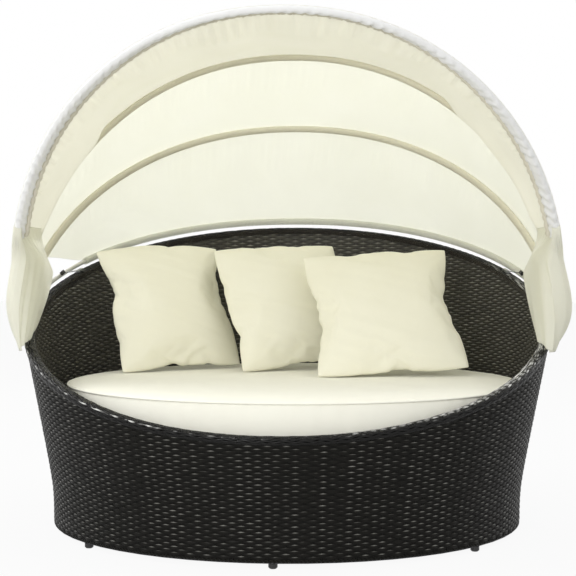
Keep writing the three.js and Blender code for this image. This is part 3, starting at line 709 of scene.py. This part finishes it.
def mattress_ring(turn, share, height, outline_height, inset):
    """The wall's outline at one height and inset, shrunk to a share about its middle and set to a height."""
    outline = wall(turn, outline_height, inset + left_slack * (1 - np.sin(turn)) / 2)
    centre = np.array([0, shift_y + lean_share * outline_height, 0])
    ring = centre + share * (outline - centre)
    ring[..., 2] = height
    return ring


# The cover's rings run from the middle of its bottom out, up its side to the seam, and in over its top
turn = round_angles(mattress_stations)
girth = turn * (base_half_width + base_half_depth) / 2
rings = []
for share in bottom_shares:
    rings.append(mattress_ring(turn, share, mattress_low, mattress_low, bottom_inset + corner_radius))
for bend in np.linspace(0, np.pi / 2, 4):
    height = mattress_low + corner_radius * (1 - np.cos(bend))
    inset = bottom_inset + corner_radius * (1 - np.sin(bend))
    rings.append(mattress_ring(turn, 1, height, mattress_low, inset))
for up in side_shares:
    height = mattress_low + (seam_height - mattress_low) * up
    base = bottom_inset + (top_inset - bottom_inset) * up
    near_seam = np.exp(-(seam_height - height) / pucker_run)
    pinch = seam_pinch * np.exp(-(seam_height - height) / (4 * seam_pinch))
    wave = pucker_depth * (0.5 + near_seam) * ripple(girth, pucker_length, 21)
    inset = base - side_bulge * np.sin(np.pi * up) + pinch + wave * np.sin(np.pi * up) ** 0.5
    rings.append(mattress_ring(turn, 1, height, height, inset))
rings.append(mattress_ring(turn, 1, seam_height, seam_height, top_inset + seam_pinch))
for share in top_shares:
    crown = np.sqrt(np.sin(np.minimum((1 - share) / crown_run_share, 1) * np.pi / 2))
    from_edge = (1 - share) * base_half_width
    wave = pucker_depth * np.exp(-from_edge / pucker_run) * ripple(girth, pucker_length, 22)
    x, y, _ = mattress_ring(turn, share, seam_height, seam_height, top_inset).T
    dip = dip_depth * (ripple(x, dip_lengths[0], 23) * ripple(y, dip_lengths[1], 24) - 1) * crown
    height = seam_height + mattress_crown * crown + wave + dip
    rings.append(mattress_ring(turn, share, height, seam_height, top_inset))
rings = np.stack(rings)
mattress = make_piece("mattress_cover", rings, tube_faces(rings, False), seat_cloth)
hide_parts("mattress")

line = mattress_ring(turn, 1, seam_height, seam_height, top_inset + seam_pinch - piping_radius / 2)
along = np.roll(line, -1, 0) - np.roll(line, 1, 0)
side = unit(np.cross(along, [0, 0, 1]))
piping = oval_rings(line, side, unit(np.cross(side, along)), piping_radius, piping_radius, piping_sides)
make_piece("mattress_piping", piping, tube_faces(piping), seat_cloth)


# Throw pillows
# Two squares of pale yellow polyester sewn together at a knife edge and stuffed with fibre. Each is
# blown up from its flat cut by a cloth simulation, and half of what that draws in is kept.
pillow_grid = 46
pillow_half_thickness = 0.078
pillow_frames = 22
pillow_pressure = 3.0
pillow_taper = 0.085
pillow_drawn_share = 0.5
pillow_start_share = 0.35
pillow_unevenness = 0.002
pillow_wave_lean, pillow_wave_length = 2.3, 0.5
pillow_cloth = woven_polyester("pale_yellow_polyester", "#f2f0de", "#ebe8d2", crease=0.22)
pillows = [
    {"name": "pillow_left", "half": 0.2525, "turn": 32.5, "lean": 24, "roll": 1.5, "seed": 31},
    {"name": "pillow_middle", "half": 0.2525, "turn": 26, "lean": 27, "roll": 3, "seed": 32},
    {"name": "pillow_right", "half": 0.2700, "turn": 4, "lean": 38, "roll": 4.5, "seed": 33},
]


def pillow_blank(half, count, seed):
    """Two square grids that share their border, bowed apart by the root of a product of parabolas. Each
    side of the cut swells by a parabola, so that it ends nearly straight when it is drawn in."""
    line = np.linspace(-1, 1, count + 1)
    a, b = np.meshgrid(line, line, indexing="ij")
    dome = np.sqrt((1 - a**2) * (1 - b**2))
    bow = pillow_start_share * pillow_half_thickness * dome
    uneven = pillow_unevenness * ripple(a + pillow_wave_lean * b, pillow_wave_length, seed) * dome
    across, up = half * a * (1 + pillow_taper * (1 - b**2)), half * b * (1 + pillow_taper * (1 - a**2))
    front = np.stack([across, -bow + uneven, up], -1).reshape(-1, 3)
    back = np.stack([across, bow + uneven, up], -1).reshape(-1, 3)
    inside = ((np.abs(a) < 1) & (np.abs(b) < 1)).ravel()
    number = np.arange(len(front))
    number[inside] = len(front) + np.arange(inside.sum())
    quads = grid_faces(count + 1, count + 1)
    return np.concatenate([front, back[inside]]), np.concatenate([quads[:, ::-1], number[quads]])


def blown_up(piece, frames, pressure):
    """Runs a cloth simulation with pressure and no gravity, and gives the points it ends with."""
    cloth = piece.modifiers.new("cloth", "CLOTH")
    settings = cloth.settings
    settings.quality = 6
    settings.mass = 0.25
    settings.tension_stiffness = 24
    settings.compression_stiffness = 18
    settings.shear_stiffness = 6
    settings.bending_stiffness = 0.12
    settings.use_pressure = True
    settings.uniform_pressure_force = pressure
    settings.effector_weights.gravity = 0
    for number in range(1, frames + 1):
        scene.frame_set(number)
    solved = piece.evaluated_get(bpy.context.evaluated_depsgraph_get()).to_mesh()
    points = np.zeros(len(solved.vertices) * 3)
    solved.vertices.foreach_get("co", points)
    piece.modifiers.remove(cloth)
    scene.frame_set(1)
    return points.reshape(-1, 3)


def turned(points, turn, lean, roll):
    """Points rolled about y, leaned back about x and then turned about z, in degrees."""
    a, b, c = np.radians([turn, -lean, -roll])
    about_z = np.array([[np.cos(a), -np.sin(a), 0], [np.sin(a), np.cos(a), 0], [0, 0, 1]])
    about_x = np.array([[1, 0, 0], [0, np.cos(b), -np.sin(b)], [0, np.sin(b), np.cos(b)]])
    about_y = np.array([[np.cos(c), 0, np.sin(c)], [0, 1, 0], [-np.sin(c), 0, np.cos(c)]])
    return points @ (about_z @ about_x @ about_y).T


for pillow in pillows:
    points, quads = pillow_blank(pillow["half"], pillow_grid, pillow["seed"])
    piece = make_piece(pillow["name"] + "_cover", points, [quads], pillow_cloth, body=None)
    flat_cut = points * [1 - pillow_taper / 2, 1 / pillow_start_share, 1 - pillow_taper / 2]
    drawn = blown_up(piece, pillow_frames, pillow_pressure)
    points = flat_cut + pillow_drawn_share * (drawn - flat_cut)
    points *= [
        pillow["half"] / np.abs(points[:, 0]).max(),
        pillow_half_thickness / np.abs(points[:, 1]).max(),
        pillow["half"] / np.abs(points[:, 2]).max(),
    ]
    points = turned(points, pillow["turn"], pillow["lean"], pillow["roll"])
    low, high = (np.array(corner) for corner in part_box(pillow["name"]))
    middle = (low + high) / 2
    points[:, :2] += middle[:2] - (points.min(0) + points.max(0))[:2] / 2
    points[:, 2] += low[2] - points[:, 2].min()
    piece.data.vertices.foreach_set("co", points.astype(np.float32).ravel())
    piece.data.update()
    smooth = piece.modifiers.new("finer", "SUBSURF")
    smooth.levels = smooth.render_levels = 1
    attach(piece, "root")
    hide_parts(pillow["name"])


# Canopy bows
# Four aluminium tubes of 16 mm, bent to flat arches, with pressed ends that turn on one pin a side.
rear_standoff = 0.062
rear_lift = 0.028
back_rim_y = lean_share * back_rim + base_half_depth + end_flare_share * flare_run(back_rim)
rear_reach = (back_rim_y + rear_standoff - hub_back, back_rim + rear_lift - hub[2])
rear_bow_deg = np.degrees(np.arctan2(*rear_reach))
bow_rise = np.hypot(*rear_reach)
front_bow_lift = 0.008
bow_pitch = 0.007
bow_curve_share = 2.096
bow_radius = 0.008
bow_flat = (0.0022, 0.0122)
bow_end_reach = 0.012
bow_stations, bow_sides = 401, 14
bow_crowding = 1.6
flat_until, round_from = 0.090, 0.160
sleeve_start = 0.290
bows = [
    {"name": "front", "body": "front_bow", "degrees": -27.5, "rise": bow_rise + front_bow_lift},
    {"name": "second", "body": "second_bow", "degrees": 27.9, "rise": bow_rise},
    {"name": "third", "body": "third_bow", "degrees": 49.0, "rise": bow_rise},
    {"name": "rear", "body": "root", "degrees": rear_bow_deg, "rise": bow_rise},
]
for k, bow in enumerate(bows):
    bow["half_width"] = hub[0] + ((len(bows) - 1) / 2 - k) * bow_pitch
hub_middle = hub * [0, 1, 1]


def bow_point(bow, angle):
    """A half superellipse in a plane through the hub line, leaned back by the bow's degrees."""
    power = 2 / bow_curve_share
    across = bow["half_width"] * np.sign(angle) * np.abs(np.sin(angle)) ** power
    reach = bow["rise"] * np.abs(np.cos(angle)) ** power
    back = np.radians(bow["degrees"])
    return np.stack([across, hub[1] + reach * np.sin(back), hub[2] + reach * np.cos(back)], -1)


def bow_angle(bow, reach):
    """The angle at which a bow has this reach from the hub line."""
    return np.arccos((reach / bow["rise"]) ** (bow_curve_share / 2))


def bow_frame(bow, angle):
    """At each angle the point, the way out in the bow's plane, and the plane's normal."""
    step = 0.0005
    point = bow_point(bow, angle)
    along = unit(bow_point(bow, angle + step) - bow_point(bow, angle - step))
    back = np.radians(bow["degrees"])
    normal = np.broadcast_to([0, np.cos(back), -np.sin(back)], along.shape)
    out = np.cross(along, normal)
    out *= np.sign((out * (point - hub_middle)).sum(-1, keepdims=True))
    return point, out, normal


def smooth_step(x):
    """Nought below 0, one above 1, and three times the square less twice the cube between."""
    x = np.clip(x, 0, 1)
    return x**2 * (3 - 2 * x)


coated_tube = powder_coat("pale_powder_coat", "#c9c8c0", "#dad9d2", 0.38)
for bow in bows:
    share = np.linspace(-1, 1, bow_stations)
    angle = bow_angle(bow, bow_end_reach) * np.sign(share) * (1 - (1 - np.abs(share)) ** bow_crowding)
    point, out, normal = bow_frame(bow, angle)
    reach = np.hypot(point[:, 1] - hub[1], point[:, 2] - hub[2])
    rounding = smooth_step((reach - flat_until) / (round_from - flat_until))[:, None]
    half_out, half_side = (flat + (bow_radius - flat) * rounding for flat in bow_flat)
    rings = oval_rings(point, out, normal, half_out, half_side, bow_sides)
    faces = tube_faces(rings, False)
    piece = make_piece(bow["name"] + "_bow_tube", rings, faces, coated_tube, bow["body"])
    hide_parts(bow["name"] + "_bow")


# Canopy sleeves
# Tunnels of the canopy's own cloth round each bow, sewn below the sheet and puckered by their seams.
sleeve_radius = 0.0132
sleeve_flat = 0.0115
sleeve_wide = sleeve_radius + (sleeve_radius - sleeve_flat) * 0.8
seam_from_under = np.radians(38)
tail_at_top, tail_at_side, tail_run_share, tail_power = 0.002, 0.017, 0.6, 6
rear_sleeve_left_end = 0.8
sleeve_wall = 0.0012
sleeve_stations, sleeve_sides = 600, 18
sleeve_pucker = 0.0011
sleeve_pucker_length, sleeve_pucker_lean = 0.014, 0.004
least_pucker_share = 0.3
sleeve_spread = 0.008
pleat_depth, pleat_top_share = 0.0030, 0.45
pleat_length = 0.03
pleat_lean = 0.016
canopy_cloth = woven_polyester("ivory_polyester", "#fbfbf5", "#f7f7ef", crease=0.1, through=0.6)
lined_cloth = woven_polyester("doubled_ivory_polyester", "#fbfaf3", "#f6f5eb", crease=0.1, through=0.5)
# The front sleeve's cloth is painted whiter than the canopy cloth: painted light, for its brightly lit top
painted_white_cloth = woven_polyester("polyester_painted_white", "#ffffff", "#fafaf8", crease=0.1, through=0.2)
# The second and third sleeves' cloth is painted paler than the canopy cloth, to make up for the shade in
# their tunnels: painted light
sleeve_cloth = woven_polyester("sleeve_polyester_painted_paler", "#fefcf0", "#f9f6e8", crease=0.1, through=0.5)
sleeve_finish = {"front": painted_white_cloth, "second": sleeve_cloth, "third": sleeve_cloth, "rear": canopy_cloth}


def length_along(line):
    """The length of a line from its start to each of its points."""
    return np.concatenate([[0], np.cumsum(np.linalg.norm(np.diff(line, axis=0), axis=1))])


def tunnel_tail(endward):
    """How far the front sleeve's flat seam side reaches past its round part, more towards its ends."""
    return tail_at_top + (tail_at_side - tail_at_top) * smooth_step(endward / tail_run_share)


for k, bow in enumerate(bows):
    start = bow_angle(bow, sleeve_start)
    left_end = rear_sleeve_left_end if bow["name"] == "rear" else 1
    angle = np.linspace(-start * left_end, start, sleeve_stations)
    point, out, normal = bow_frame(bow, angle)
    length = length_along(point)[:, None]
    endward = np.abs(angle)[:, None] / start
    around = round_angles(sleeve_sides)
    seamward = least_pucker_share + (1 - np.cos(around)) / 2
    flat, wide, tail = sleeve_flat, sleeve_wide, 0
    if bow["name"] == "front":
        # The seam's gathers run slantwise round this tunnel as pleats, deeper towards its ends
        depth = pleat_depth * (pleat_top_share + (1 - pleat_top_share) * endward)
        puckers = depth * seamward * ripple(length + pleat_lean * np.sin(around), pleat_length, 40)
        flat = wide = sleeve_radius
        towards_seam = np.clip(np.cos(around - (np.pi - seam_from_under)), 0, 1)
        tail = tunnel_tail(endward) * towards_seam**tail_power
    else:
        slanted = length + sleeve_pucker_lean * np.sin(around)
        puckers = 0.5 * sleeve_pucker * seamward * ripple(slanted, sleeve_pucker_length, 40 + k)
    if bow["name"] in ("second", "third"):
        wide = wide + sleeve_spread * endward**2
    walls = []
    for inside in (0, sleeve_wall):
        size = puckers - inside - sleeve_pucker + tail
        walls.append(oval_rings(point, out, normal, flat + size, wide + size, sleeve_sides))
    rings = np.concatenate([walls[0], walls[1][::-1]])
    finish = sleeve_finish[bow["name"]]
    piece = make_piece(
        bow["name"] + "_sleeve_cloth", rings, tube_faces(rings), finish, bow["body"]
    )
    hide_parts(bow["name"] + "_sleeve")
    girth = float(np.linalg.norm(np.roll(walls[0], -1, 1) - walls[0], axis=-1).sum(1).mean())


# Front seam
# The doubled edge of the front sleeve, which hangs below it inside the canopy. Its stitches gather it
# into shallow scallops. Its colour is painted darker than the canopy cloth, as painted shade along the
# sleeve's underside, and no light comes through its four layers.
seam_width = 0.0145
seam_thickness = 0.0022
seam_scallop = 0.0036
seam_scallop_length = 0.031
seam_gather = 0.0013
seam_gather_length = 0.015
seam_sway_length = 0.05
seam_tuck = 0.002
seam_stations = 900
# The seam's section: the share of its drop and the share of its half thickness at each corner
seam_section = [(0, -1), (0.5, -1), (1, -0.6), (1, 0.6), (0.5, 1), (0, 1)]
# Its colours are painted darker than the canopy cloth's: painted shade
seam_shade_cloth = woven_polyester("polyester_seam_painted_shade", "#e8e3d5", "#d3cdbc", crease=0.15)
endward = np.linspace(-1, 1, seam_stations)
point, out, normal = bow_frame(bows[0], endward * bow_angle(bows[0], sleeve_start))
length = length_along(point)
hang = -np.cos(seam_from_under) * out + np.sin(seam_from_under) * normal
beside = np.sin(seam_from_under) * out + np.cos(seam_from_under) * normal
scallops = seam_scallop * np.abs(np.sin(np.pi * length / seam_scallop_length))
drop = seam_width + scallops + 0.5 * seam_gather * ripple(length, seam_sway_length, 46)
wave = seam_gather * ripple(length, seam_gather_length, 47)
corners = []
for share, half in seam_section:
    reach = sleeve_radius - seam_tuck + tunnel_tail(np.abs(endward)) + share * drop
    aside = half * seam_thickness / 2 + share * wave
    corners.append(point + reach[:, None] * hang + aside[:, None] * beside)
rings = np.stack(corners, 1)
make_piece("front_sleeve_seam", rings, tube_faces(rings, False), seam_shade_cloth, "front_bow")


# Canopy cloth
# One light sheet over the four bows, in three fields. It is drawn tight from bow to bow, a little
# hollow between them, and gathered where its edges are sewn.
panel_columns, panel_rows = 420, 56
panel_saddle = 0.014
cloth_thickness = 0.0012
panel_lift = 0.0128
tuck_left, tuck_right = 0.60, 0.47
tuck_run, tuck_depth = 0.09, 2.1
side_bulge_depth, side_bulge_run = 0.022, 0.2
side_bulge_at, side_bulge_width = 0.84, 0.13
side_bulge_ends_from = 0.93
hem_from, hem_rise, hem_power = 0.78, 0.92, 1.6
# The gathers at a field's front edge, and the short puckers of the stitches among them
gather_length, gather_drift, gather_fade, gather_reach = 0.052, 0.05, 0.65, 2.2
stitch_share, stitch_length, stitch_drift, stitch_reach, stitch_rise = 0.4, 0.019, -0.03, 0.12, 25
rear_creases = [
    ((-0.17, 0.2), (-0.03, 1.0), 0.035, 0.007),
    ((-0.60, 0.45), (-0.36, 1.02), 0.05, 0.009),
    ((-0.72, 0.55), (-0.5, 1.05), 0.04, -0.006),
    ((0.42, 0.5), (0.62, 1.02), 0.05, 0.006),
    ((0.15, 0.4), (0.04, 1.0), 0.03, -0.003),
]
panels = [
    {
        "name": "front_panel", "bodies": ("second_bow", "front_bow"), "cloth": lined_cloth,
        "depth": 0.011, "folds": 9, "fine": 0.0075, "seed": 51,
    },
    {
        "name": "middle_panel", "bodies": ("third_bow", "second_bow"), "cloth": canopy_cloth,
        "depth": 0.004, "folds": 6, "fine": 0.0012, "seed": 52,
    },
    {
        "name": "rear_panel", "bodies": ("root", "third_bow"), "cloth": canopy_cloth,
        "depth": 0.006, "folds": 6, "fine": 0.0016, "seed": 53,
    },
]


def past_tuck(u, run):
    """How far the front field has gone over to the inside of the second sleeve, from nought where that
    begins at its left and its right to one a run further out."""
    return smooth_step((np.abs(u) - np.where(u < 0, tuck_left, tuck_right)) / run)


def crease(u, v, start, end, width):
    """A ridge of bell section along a line from start to end, which fades towards both its ends."""
    start, end = np.array(start), np.array(end)
    run = end - start
    share = ((u - start[0]) * run[0] + (v - start[1]) * run[1]) / (run @ run)
    off = np.hypot(u - start[0] - share * run[0], v - start[1] - share * run[1])
    return np.exp(-((off / width) ** 2)) * np.sin(np.pi * np.clip(share, 0, 1)) ** 0.6


def cloth_piece(name, points, material):
    """An open sheet of canopy cloth on a grid of points, with the thickness of the cloth."""
    faces = [grid_faces(*points.shape[:2])]
    piece = make_piece(name, points, faces, material, body=None, closed=False)
    thick = piece.modifiers.new("cloth_thickness", "SOLIDIFY")
    thick.thickness = cloth_thickness
    thick.offset = 0
    return piece


for panel, ahead, behind in zip(panels, bows[:-1], bows[1:]):
    in_front, at_rear = panel is panels[0], panel is panels[-1]
    u = np.linspace(-1, 1, panel_columns)
    edges, outward = [], []
    for bow in (ahead, behind):
        point, out, _ = bow_frame(bow, u * bow_angle(bow, sleeve_start))
        tucked = past_tuck(u, tuck_run) if in_front and bow is behind else 0 * u
        edges.append((point + panel_lift * (1 - tuck_depth * tucked[:, None]) * out)[:, None])
        outward.append(out[:, None])
    past = np.maximum((-u - hem_from) / (1 - hem_from), 0) if at_rear else 0 * u
    v = np.linspace(0, 1, panel_rows)[None, :, None] * (1 - hem_rise * past**hem_power)[:, None, None]
    chord = edges[0] * (1 - v) + edges[1] * v
    inward = unit(-(outward[0] * (1 - v) + outward[1] * v))
    length = length_along(chord[:, 0])[:, None]
    side = np.linspace(0, 1, panel_columns)[:, None]
    across = v[..., 0]
    between = np.sin(np.pi * across)
    main = panel["depth"] * np.sin(panel["folds"] * full_turn * (1 - side))
    gathers = ripple(length + gather_drift * across, gather_length, panel["seed"], waves=8)
    gathers = panel["fine"] * gathers * (1 - gather_fade * across)
    gathers = gathers * np.sin(np.pi * np.minimum(across * gather_reach, 1)) ** 0.5
    stitches = ripple(length + stitch_drift * across, stitch_length, panel["seed"] + 5, waves=8)
    stitches = stitch_share * panel["fine"] * stitches
    stitches = stitches * np.exp(-across / stitch_reach) * np.minimum(across * stitch_rise, 1)
    sag = between * np.sin(np.pi * side) * (panel_saddle + main) + gathers * between**0.5 + stitches
    if in_front:
        ends = smooth_step((np.abs(u) - side_bulge_ends_from) / (1 - side_bulge_ends_from))
        low = (past_tuck(u, side_bulge_run) * (1 - ends))[:, None]
        bell = np.exp(-(((across - side_bulge_at) / side_bulge_width) ** 2))
        sag = sag + side_bulge_depth * low * bell * between**0.25
    if at_rear:
        for start, end, width, height in rear_creases:
            sag = sag + height * crease(u[:, None], across, start, end, width) * between**0.3
    sheet = chord + sag[..., None] * inward
    if in_front:
        front_sheet = sheet
    piece = cloth_piece(panel["name"] + "_cloth", sheet, panel["cloth"])
    wide = float(length_along(chord[:, panel_rows // 2])[-1])
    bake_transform(piece)
    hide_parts(panel["name"])


# Side wings
# Flaps of the same cloth that hang from the front sleeve's ends over each hub, and hide it.
wing_length = 0.370
wing_columns, wing_rows = 150, 70
wing_fold_depth = 0.006
wing_fold_length, wing_fold_lean = 0.11, 0.06
wing_gather_depth, wing_gather_length = 0.0025, 0.03
wing_inner_from, wing_inner_run = 0.4, 0.4
wing_outer_lean, wing_outer_waves = 0.011, 0.8
wing_cuff = -0.14
wing_cuff_until = 0.22
cuff_reach = 0.335
cuff_gap = 0.0018
# Where the cuff meets the front field, as shares of its depth: at two places outside, then three inside
cuff_rows = (0.45, 0.22, 0.14, 0.45, 0.8)
wing_shift = {"left": (-0.012, 0.034), "right": (-0.030, 0.014)}
wing_top = [
    (-0.005, 0.34, 0.68), (-0.05, 0, 0.6955), (0.005, -0.32, 0.675), (-0.045, -0.405, 0.672),
    (-0.11, -0.36, 0.675), (-0.126, -0.181, 0.678), (-0.129, 0.251, 0.665), (-0.156, 0.608, 0.473),
]
wing_middle = [
    (0.062, 0.36, 0.2), (0.088, 0, 0.162), (0.036, -0.3, 0.142), (-0.037, -0.46, 0.154),
    (-0.126, -0.484, 0.17), (-0.18, -0.344, 0.203), (-0.199, 0.035, 0.23), (-0.202, 0.44, 0.17),
]
wing_bottom = [
    (0.014, 0.34, -0.162), (0.022, 0.03, -0.238), (-0.042, -0.276, -0.306), (-0.105, -0.5, -0.33),
    (-0.159, -0.592, -0.314), (-0.223, -0.519, -0.27), (-0.261, -0.371, -0.243), (-0.237, -0.127, -0.216),
]
wing_cloth = woven_polyester("hanging_polyester", "#fbfbf4", "#f5f4ea", crease=0.12, through=0.55)


def smooth_curve(knots, u):
    """A uniform Catmull-Rom curve through its knots, at u from 0 to 1."""
    knots = np.asarray(knots, float)
    padded = np.concatenate([[2 * knots[0] - knots[1]], knots, [2 * knots[-1] - knots[-2]]])
    place = np.clip(u, 0, 1) * (len(knots) - 1)
    k = np.minimum(place.astype(int), len(knots) - 2)
    t = (place - k)[:, None]
    a, b, c, d = (padded[k + i] for i in range(4))
    return 0.5 * (2 * b + (c - a) * t + (2 * a - 5 * b + 4 * c - d) * t**2 + (3 * b - a - 3 * c + d) * t**3)


def cuff_line(side):
    """Where a wing is sewn on: over the front field's outer face, round the front sleeve's end, and back
    along that field's inner face."""
    bow = bows[0]
    at = side * bow_angle(bow, cuff_reach)
    point, out, normal = bow_frame(bow, np.array(at))
    column = int(round((1 + at / bow_angle(bow, sleeve_start)) / 2 * (panel_columns - 1)))
    edge = [front_sheet[column, int(share * (panel_rows - 1))] for share in cuff_rows]
    round_sleeve = sleeve_radius + cuff_gap
    return np.array([
        edge[0] + cuff_gap * out,
        edge[1] + cuff_gap * out,
        point + round_sleeve * (0.95 * out - 0.3 * normal),
        point - round_sleeve * normal,
        point - round_sleeve * (0.9 * out + 0.45 * normal),
        edge[2] - cuff_gap * out,
        edge[3] - cuff_gap * out,
        edge[4] - cuff_gap * out,
    ])


for label, side in (("left", -1), ("right", 1)):
    u = np.linspace(0, 1, wing_columns)
    v = np.linspace(wing_cuff, 1, wing_rows)[None, :, None]
    top, middle, bottom = (smooth_curve(knots, u)[:, None] for knots in (wing_top, wing_middle, wing_bottom))
    shares = top * (1 - v) * (1 - 2 * v) + middle * 4 * v * (1 - v) + bottom * v * (2 * v - 1)
    points = hub_middle + wing_length * shares
    points[..., 0] = side * (hub[0] + wing_length * shares[..., 0])
    girth = u[:, None] * length_along(points[:, wing_rows // 2])[-1]
    fall = np.clip(v[..., 0], 0, 1)
    fold = wing_fold_depth * ripple(girth + wing_fold_lean * fall, wing_fold_length, 61 + side)
    fold = fold * np.sin(np.pi * fall**0.8 / 1.6) * np.sin(np.pi * u)[:, None] ** 0.5
    inner_part = smooth_step((u[:, None] - wing_inner_from) / wing_inner_run)
    first, last = wing_shift[label]
    outer_lean = wing_outer_lean * np.sin(full_turn * wing_outer_waves * fall - np.pi / 2) * (1 - inner_part)
    points[..., 0] += side * (fold + (first + (last - first) * fall) * inner_part + outer_lean)
    sewn = smooth_curve(cuff_line(side), u)[:, None] + (points.mean(0) - points[:, :1].mean(0))[None]
    free = smooth_step((v - wing_cuff) / (wing_cuff_until - wing_cuff))
    points = sewn * (1 - free) + points * free
    gathers = wing_gather_depth * ripple(girth, wing_gather_length, 71)
    points[..., 0] += side * gathers * np.sin(np.pi * free[..., 0])
    piece = cloth_piece(f"side_wing_{label}_cloth", points, wing_cloth)
    wide = float(np.linalg.norm(np.diff(points, axis=0), axis=-1).sum(0).mean())
    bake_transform(piece)
    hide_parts(f"side_wing_{label}")


# Fittings
# Pressed steel brackets, pins, clips and stays with a bright zinc plate, and moulded black knobs.
zinc_patches_a_metre = 90


def zinc_plate(name):
    """Bright zinc on pressed steel: a metal with a faint cloudy stain about 11 mm across, and a little
    duller where that is paler."""
    material, tree, shader, place = patterned_material(name)
    shader.inputs["Metallic"].default_value = 1
    cloud = node(tree, "TexNoise", {"Vector": place, "Scale": zinc_patches_a_metre, "Detail": 4})
    stain = {0: cloud.outputs[0], 6: linear("#a9abad"), 7: linear("#c9cbcc")}
    tone = node(tree, "Mix", stain, data_type="RGBA")
    tree.links.new(tone.outputs[2], shader.inputs["Base Color"])
    dull = node(tree, "MapRange", {0: cloud.outputs[0], 1: 0.3, 2: 0.7, 3: 0.22, 4: 0.38})
    tree.links.new(dull.outputs[0], shader.inputs["Roughness"])
    return material


plated = zinc_plate("zinc_plated_steel")
for label in ("left", "right"):
    for name in ("hub_bracket", "pivot_pin", "rim_clip", "stay"):
        finish_node(f"{name}_{label}", plated)
    for name in ("pivot_knob", "stay_knuckle"):
        finish_node(f"{name}_{label}", moulded_nylon)
    for k in range(1, 4):
        finish_node(f"pivot_washer_{label}_{k}", moulded_nylon)


# Sizes
# The box of what is shown.
low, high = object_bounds()
